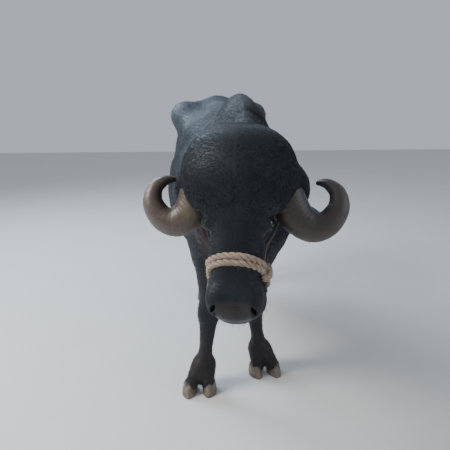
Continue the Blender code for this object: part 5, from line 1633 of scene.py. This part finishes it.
def eye_paint():
    """A wet dark eye: level oval pupil, brown iris with fine spokes, dusky white behind it."""
    made, tree, shader = paint_tree("eye")
    where = place_of(tree)
    spokes = noise(tree, where, 700.0, 3.0, 0.6)
    iris = mixed(tree, spokes, (0.006, 0.003, 0.002), (0.022, 0.011, 0.006))
    colour = mixed(tree, spread(tree, marked(tree, "pupil"), 0.95, 1.10), (0.002, 0.002, 0.0025), iris)
    edge = spread(tree, marked(tree, "polar"), 0.74, 0.86)
    white = mixed(tree, noise(tree, where, 260.0, 3.0), (0.010, 0.007, 0.006), (0.030, 0.020, 0.017))
    tree.links.new(mixed(tree, edge, colour, white), shader.inputs["Base Color"])
    tree.links.new(spread(tree, spokes, 0.2, 0.8, 0.08, 0.16), shader.inputs["Roughness"])
    finish(shader, Coat_Weight=0.35, Coat_Roughness=0.04)
    return made


# The rope halter

NOSE_LOOPS = (0.367, 0.385)
LOOP_SLOPE = 0.56
LOOP_FRONT = 0.072
SUNK = 0.35
KNOT_ANGLE = 82
TUCK = (
    # places from the knot's middle: outward, forward, down
    (-0.004, 0.020, 0.016),
    (0.012, 0.012, 0.010),
    (0.016, -0.002, 0.000),
    (0.013, -0.014, -0.012),
    (0.004, -0.022, -0.020),
)
CUT_END = (
    (0.000, -0.006, 0.012),
    (0.010, -0.012, 0.020),
    (0.012, -0.018, 0.032),
    (0.009, -0.024, 0.046),
)
STRAP_TURN = (-163, -142, -116, -90, -45, 0, 45, 90, 116, 142, 163)
STRAP_FRONT = (-0.018, -0.054, -0.089, -0.092, -0.104, -0.114, -0.104, -0.092, -0.089, -0.054, -0.018)
STRAP_MIDDLE = 0.19
STRANDS = 3
STRAND_SIDES = 14
RINGS_PER_TURN = 22
LOOSE = 0.05
ROPE_MARKS = ("outer", "run", "cosine", "sine")


def nose_loop(down, flesh, stations=90):
    """The rope's centre line round the muzzle, on the skin, in the head's frame."""
    angles = np.linspace(0, 2 * np.pi, stations, endpoint=False)
    ways = unit(np.stack([np.sin(angles), np.cos(angles), -LOOP_SLOPE * np.cos(angles)], 1))
    origins = np.tile((0, -0.01, down + LOOP_SLOPE * (LOOP_FRONT + 0.01)), (stations, 1))
    return origins + ways * (surface_reach(origins, ways, flesh) + ROPE_RADIUS * SUNK)[:, None]


def strap_path(flesh, stations=61):
    """The thin rope's centre line from one cheek over the poll to the other, on the skin."""
    turn = np.linspace(STRAP_TURN[0], STRAP_TURN[-1], stations)
    origins = np.stack([0 * turn, smooth_curve(turn, STRAP_TURN, STRAP_FRONT), 0 * turn + STRAP_MIDDLE], 1)
    ways = np.stack([np.sin(np.radians(turn)), 0 * turn, -np.cos(np.radians(turn))], 1)
    return origins + ways * (surface_reach(origins, ways, flesh) + STRAP_RADIUS * SUNK)[:, None]


def resampled(path, count, closed=False):
    """The path with evenly spaced points."""
    path = np.asarray(path, float)
    if closed:
        path = np.concatenate([path, path[:1]])
    along = np.concatenate([[0], np.cumsum(np.linalg.norm(np.diff(path, axis=0), axis=1))])
    at = np.linspace(0, along[-1], count + 1)[:-1] if closed else np.linspace(0, along[-1], count)
    return np.stack([np.interp(at, along, column) for column in path.T], 1), along[-1]


def rope_meshes(path, radius, lay, closed=False, seed=0):
    """Laid rope: three strands that wind round the path, each a bundle of yarns with its own twist.
    The lay is the length of one turn."""
    length = resampled(path, 400, closed)[1]
    turns = max(1, round(length / lay))
    count = turns * RINGS_PER_TURN
    path, _ = resampled(path, count, closed)
    tangents, normals, binormals = frames_along(path, closed)
    share = np.arange(count) / count if closed else np.linspace(0, 1, count)
    slip = 0.0
    if closed:
        slip = math.atan2(np.cross(normals[-1], normals[0]) @ tangents[0], normals[-1] @ normals[0])
    strand = radius * 0.475
    angles = 2 * math.pi * np.arange(STRAND_SIDES) / STRAND_SIDES
    meshes = []
    for number in range(STRANDS):
        around = 2 * math.pi * (turns * share + number / STRANDS) + slip * share
        wobble = 1 + LOOSE * np.sin(2 * math.pi * 5 * share + 2 * number + seed)
        spoke = normals * np.cos(around)[:, None] + binormals * np.sin(around)[:, None]
        centre = path + spoke * ((radius - strand) * wobble)[:, None]
        if closed:
            heading = unit(np.roll(centre, -1, 0) - np.roll(centre, 1, 0))
        else:
            heading = unit(np.gradient(centre, axis=0))
        out = unit(spoke - heading * (spoke * heading).sum(1, keepdims=True))
        wide = np.cross(heading, out)
        yarns = 1 + 0.055 * np.cos(7 * angles[None] - 2 * math.pi * turns * 2 * share[:, None] * 7)
        yarns *= 1 + 0.03 * np.sin(2 * math.pi * 9 * share + number)[:, None]
        size = (strand * yarns)[:, :, None]
        rings = centre[:, None] + np.cos(angles)[None, :, None] * size * out[:, None] * 0.94
        rings = rings + np.sin(angles)[None, :, None] * size * wide[:, None] * 1.06
        shape = rings.shape
        rings = from_head(rings.reshape(-1, 3)).reshape(shape)
        mesh = tube_mesh("strand", rings, closed)
        depth = np.broadcast_to(np.cos(angles)[None], shape[:2]).reshape(-1) * 0.5 + 0.5
        run = np.broadcast_to((share * length)[:, None], shape[:2]).reshape(-1)
        lean = np.broadcast_to(angles[None], shape[:2]).reshape(-1)
        caps = 0 if closed else 2
        for word, value, end in zip(ROPE_MARKS, (depth, run, np.cos(lean), np.sin(lean)), (0.5, 0, 0, 0)):
            mark(mesh, word, np.concatenate([value, [end] * caps]))
        meshes.append(mesh)
    return meshes


def stray_fibres(path, radius, count, seed):
    """Short loose fibres that stand off a rope."""
    draw = np.random.default_rng(seed)
    spots = draw.integers(1, len(path) - 1, count)
    tangents, normals, binormals = frames_along(path)
    angles = draw.uniform(0, 2 * math.pi, count)
    out = normals[spots] * np.cos(angles)[:, None] + binormals[spots] * np.sin(angles)[:, None]
    ways = unit(tangents[spots] * draw.choice((-1, 1), count)[:, None] + draw.normal(size=(count, 3)) * 0.5)
    roots = path[spots] + out * radius * 0.93
    points, faces = tuft_points(roots, out, ways, draw.uniform(0.006, 0.016, count), np.full(count, 0.00035),
                                draw.uniform(0.2, 0.9, count))
    mesh = mesh_of("fibres", from_head(points), faces)
    for word in ROPE_MARKS:
        mark(mesh, word, np.ones(len(points)))
    return mesh


def knot_paths(flesh):
    """The tied knot on her left cheek: a turn that wraps both ropes, a tuck through it and its short
    cut end."""
    centre = nose_loop(sum(NOSE_LOOPS) / 2, flesh, 360)[KNOT_ANGLE]
    outward, front, down = np.array((1.0, 0, 0)), np.array((0, 1.0, 0)), np.array((0, 0, 1.0))
    turn = np.linspace(-0.5 * math.pi, 1.75 * math.pi, 40)
    wrap = centre + outward * (0.004 + 0.013 * np.cos(turn))[:, None]
    wrap = wrap + down * (0.004 + 0.017 * np.sin(turn))[:, None]
    wrap = wrap + front * (0.008 * np.linspace(-1, 1, 40))[:, None]
    at = np.linspace(0, 1, 30)
    ends = [centre + smooth_curve(at, np.linspace(0, 1, len(knots)), knots) for knots in (TUCK, CUT_END)]
    return wrap, *ends


def halter_pieces(flesh, paint, cord_paint):
    loops = [nose_loop(down, flesh) for down in NOSE_LOOPS]
    meshes = []
    for number, loop in enumerate(loops):
        meshes += rope_meshes(loop, ROPE_RADIUS, 0.060, True, number)
        fine, _ = resampled(loop, 500, True)
        meshes.append(stray_fibres(fine, ROPE_RADIUS, 420, 70 + number))
    wrap, tuck, tail_end = knot_paths(flesh)
    for path, radius in ((wrap, 0.0098), (tuck, 0.0098), (tail_end, 0.0075)):
        meshes += rope_meshes(path, radius, 0.045)
        meshes.append(stray_fibres(resampled(path, 60)[0], radius, 60, 75))
    shown("rope_noseband", joined("rope_noseband", meshes), paint, ("noseband",))
    strap = strap_path(flesh)
    meshes = rope_meshes(strap, STRAP_RADIUS, 0.034)
    meshes.append(stray_fibres(resampled(strap, 500)[0], STRAP_RADIUS, 420, 79))
    shown("rope_headstall", joined("rope_headstall", meshes), cord_paint, ("headstall",))


def rope_paint(name, pale, deep):
    """Plant fibre: pale straw yarns with browner ones, darker where each strand turns into the lay's hollows.
    """
    made, tree, shader = paint_tree(name)
    where = place_of(tree)
    spin = node(tree, "ShaderNodeCombineXYZ", {
        "X": marked(tree, "cosine"), "Y": marked(tree, "sine"),
        "Z": maths(tree, "MULTIPLY", marked(tree, "run"), 9.0)})
    fibre = noise(tree, spin.outputs[0], 7.0, 4.0, 0.65, 0.3)
    patch = noise(tree, where, 42.0, 3.0)
    colour = mixed(tree, spread(tree, fibre, 0.35, 0.65), deep, pale)
    colour = mixed(tree, spread(tree, patch, 0.42, 0.70, 0.0, 0.45), colour, deep)
    # darker where each strand faces into the rope, in the lay's hollows
    dirt = tuple(0.35 * value for value in deep)
    colour = mixed(tree, spread(tree, marked(tree, "outer"), 0.62, 0.20, 0.0, 0.85), colour, dirt)
    tree.links.new(colour, shader.inputs["Base Color"])
    tree.links.new(spread(tree, fibre, 0.3, 0.7, 0.92, 0.76), shader.inputs["Roughness"])
    finish(shader, Sheen_Weight=0.25)
    bumped(tree, shader, fibre, 0.0010, 0.8)
    return made


# The tail's brush

SWITCH_LENGTH = 0.27
SWITCH_LOCKS = (
    # how many, width, stations, sides, how far down the roots spread
    (240, 0.010, 9, 6, 0.130),
    (1000, 0.0018, 8, 3, 0.150),
)
GOLDEN_TURN = 2.399963


def lock_points(roots, ways, lengths, widths, bends, curls, stations, sides):
    """Hanging locks: each leaves its root along its way, bends over and falls to a fine tip."""
    share = np.linspace(0, 1, stations)
    taper = np.interp(share, (0, 0.25, 0.6, 0.85, 1), (0.55, 1.0, 0.9, 0.5, 0.04))
    flat = unit(np.cross((0, 0, 1.0), ways))
    out = ways[:, None] * (bends[:, None] * np.sin(share * math.pi * 0.75)[None])[:, :, None]
    out = out + flat[:, None] * (curls[:, None] * share[None] ** 2)[:, :, None]
    centres = roots[:, None] + out
    centres[:, :, 2] -= lengths[:, None] * share[None]
    angles = 2 * math.pi * np.arange(sides) / sides
    widths, taper = widths[:, None, None], taper[None, :, None]
    wide = (widths / 2 * taper * np.cos(angles)[None, None])[..., None] * flat[:, None, None]
    thick = (widths / 5 * taper * np.sin(angles)[None, None])[..., None] * ways[:, None, None]
    rings = centres[:, :, None] + wide + thick
    one = ring_faces(rings[0])
    size = len(one[0])
    ends = np.stack([rings[:, 0].mean(1), rings[:, -1].mean(1)], 1)
    points = np.concatenate([rings.reshape(len(roots), -1, 3), ends], 1)
    faces = (one[1][None] + size * np.arange(len(roots))[:, None, None]).reshape(-1, 3)
    return points.reshape(-1, 3), faces, size, share


def switch_piece(paint):
    """The brush of coarse hair at the tail's end."""
    draw = np.random.default_rng(7)
    x, y, z, _ = TAIL_PATH[-1]
    meshes = []
    for count, width, stations, sides, deep in SWITCH_LOCKS:
        angle = GOLDEN_TURN * np.arange(count)
        share = (np.arange(count) + 0.5) / count
        ways = np.stack([np.cos(angle), np.sin(angle), 0 * angle], 1)
        roots = np.array((x, y, z + 0.035)) + ways * (0.0125 - 0.006 * share)[:, None]
        roots[:, 2] -= deep * share
        reach = SWITCH_LENGTH + 0.030 - deep * share
        lengths = reach * draw.uniform(0.62, 0.96, count)
        widths = width * draw.uniform(0.7, 1.3, count)
        bends = draw.uniform(0.004, 0.020, count)
        curls = draw.normal(0, 0.009, count)
        points, faces, size, along = lock_points(roots, ways, lengths, widths, bends, curls, stations, sides)
        mesh = mesh_of("locks", points, faces)
        spot = np.stack([np.arange(sides) / sides - 0.5, np.zeros(sides)], 1)
        patch = np.concatenate([spot + (0, place) for place in along] + [[(0, 0), (0, 1)]]) * TUFT_ARC
        bake_map(mesh, faces, roots, patch)
        mark_all(mesh, np.repeat(roots, size, axis=0))
        mark(mesh, "tone", np.repeat(draw.uniform(0.2, 0.9, count), size))
        meshes.append(mesh)
    mesh = faced_out(joined("coat_tail_switch", meshes))
    shown("coat_tail_switch", mesh, paint, ("tail_switch",))


# The skin with its ears

def hide_mesh(forms):
    """The whole skin as one mesh, and the flesh nodes that it stands for."""
    mesh = joined("hide", [skin_mesh(forms)] + [tube_mesh("ear", ear_rings(side)) for side in SIDES])
    mark_all(mesh, read(mesh.vertices, "co").astype(float))
    covered = ["head", "neck", "torso", "udder", "tail"]
    covered += [f"leg_{foot}" for foot, *_ in feet()] + [f"ear_{SIDE_NAMES[side]}" for side in SIDES]
    return mesh, covered


# Floor, light and camera

FLOOR_HALF = 14
LAMPS = (
    # name, place, aim, size, power, colour
    ("key", (-3.9, -1.2, 3.8), (0, -0.6, 0.9), 1.8, 285, (1.0, 0.97, 0.93)),
    ("back", (-2.4, 2.8, 4.2), (0, 0.1, 1.3), 2.2, 235, (0.66, 0.83, 1.0)),
    ("fill", (3.6, -3.0, 2.2), (0, -0.4, 0.9), 3.0, 45, (0.93, 0.96, 1.0)),
)


def floor_and_light():
    """A plain pale floor under soft light, the main one high on the photograph's left."""
    corners = [(i * FLOOR_HALF, j * FLOOR_HALF, 0) for i, j in ((-1, -1), (1, -1), (1, 1), (-1, 1))]
    mesh = mesh_of("floor", corners, [(0, 1, 2, 3)])
    made, tree, shader = paint_tree("pale_floor")
    grain = noise(tree, place_of(tree), 3.0, 4.0)
    tree.links.new(mixed(tree, grain, (0.60, 0.60, 0.59), (0.66, 0.66, 0.65)), shader.inputs["Base Color"])
    finish(shader, Roughness=0.85)
    mesh.materials.append(made)
    floor = bpy.data.objects.new("floor", mesh)
    bpy.context.scene.collection.objects.link(floor)
    world = bpy.data.worlds.new("pale")
    world.use_nodes = True
    finish(world.node_tree.nodes["Background"], Color=(0.80, 0.86, 0.95, 1), Strength=0.60)
    bpy.context.scene.world = world
    for name, place, aim, size, power, colour in LAMPS:
        light = bpy.data.lights.new(name, "AREA")
        light.size = size
        light.energy = power
        light.color = colour
        lamp = bpy.data.objects.new(name, light)
        lamp.location = place
        lamp.rotation_euler = (Vector(aim) - Vector(place)).to_track_quat("-Z", "Y").to_euler()
        bpy.context.scene.collection.objects.link(lamp)


CAMERA_AT = (-0.278, -2.43, 1.34)
CAMERA_PITCH = 14.0
CAMERA_YAW = math.degrees(math.atan2(0.11, 0.994))


def photo_camera():
    """The camera at the photograph's angle, a little above her head and looking down on her."""
    yaw, pitch = math.radians(CAMERA_YAW), math.radians(CAMERA_PITCH)
    ahead = Vector((math.sin(yaw), math.cos(yaw), 0))
    forward = ahead * math.cos(pitch) - Vector((0, 0, math.sin(pitch)))
    right = Vector((ahead.y, -ahead.x, 0))
    up = right.cross(forward)
    turn = Matrix((right, up, -forward)).transposed().to_4x4()
    turn.translation = Vector(CAMERA_AT) + Vector(SHIFT)
    lens = bpy.data.cameras.new("photo")
    lens.lens, lens.sensor_width = 36, 36
    camera = bpy.data.objects.new("photo", lens)
    camera.matrix_world = turn
    bpy.context.scene.collection.objects.link(camera)
    bpy.context.scene.camera = camera


def main():
    photo_camera()
    floor_and_light()
    flesh, forms = skin_forms()
    hair = coat_paint()
    skin, covered = hide_mesh(forms)
    coat_pieces(skin, hair)
    lashes_and_whiskers(skin, hair)
    shown("hide", skin, hide_paint(), covered)
    for side in SIDES:
        horn_piece(side, horn_paint(f"horn_{SIDE_NAMES[side]}", *HORN_LIT_AND_SHADED_TINTS[side]))
    hoof = claw_paint()
    claw_pieces(hoof)
    dewclaw_pieces(hoof)
    glass = eye_paint()
    for side in SIDES:
        eye_piece(side, glass)
    halter_pieces(flesh, rope_paint("rope", (0.47, 0.36, 0.27), (0.20, 0.135, 0.095)),
                  rope_paint("cord", (0.17, 0.145, 0.125), (0.060, 0.048, 0.040)))
    switch_piece(hair)


main()
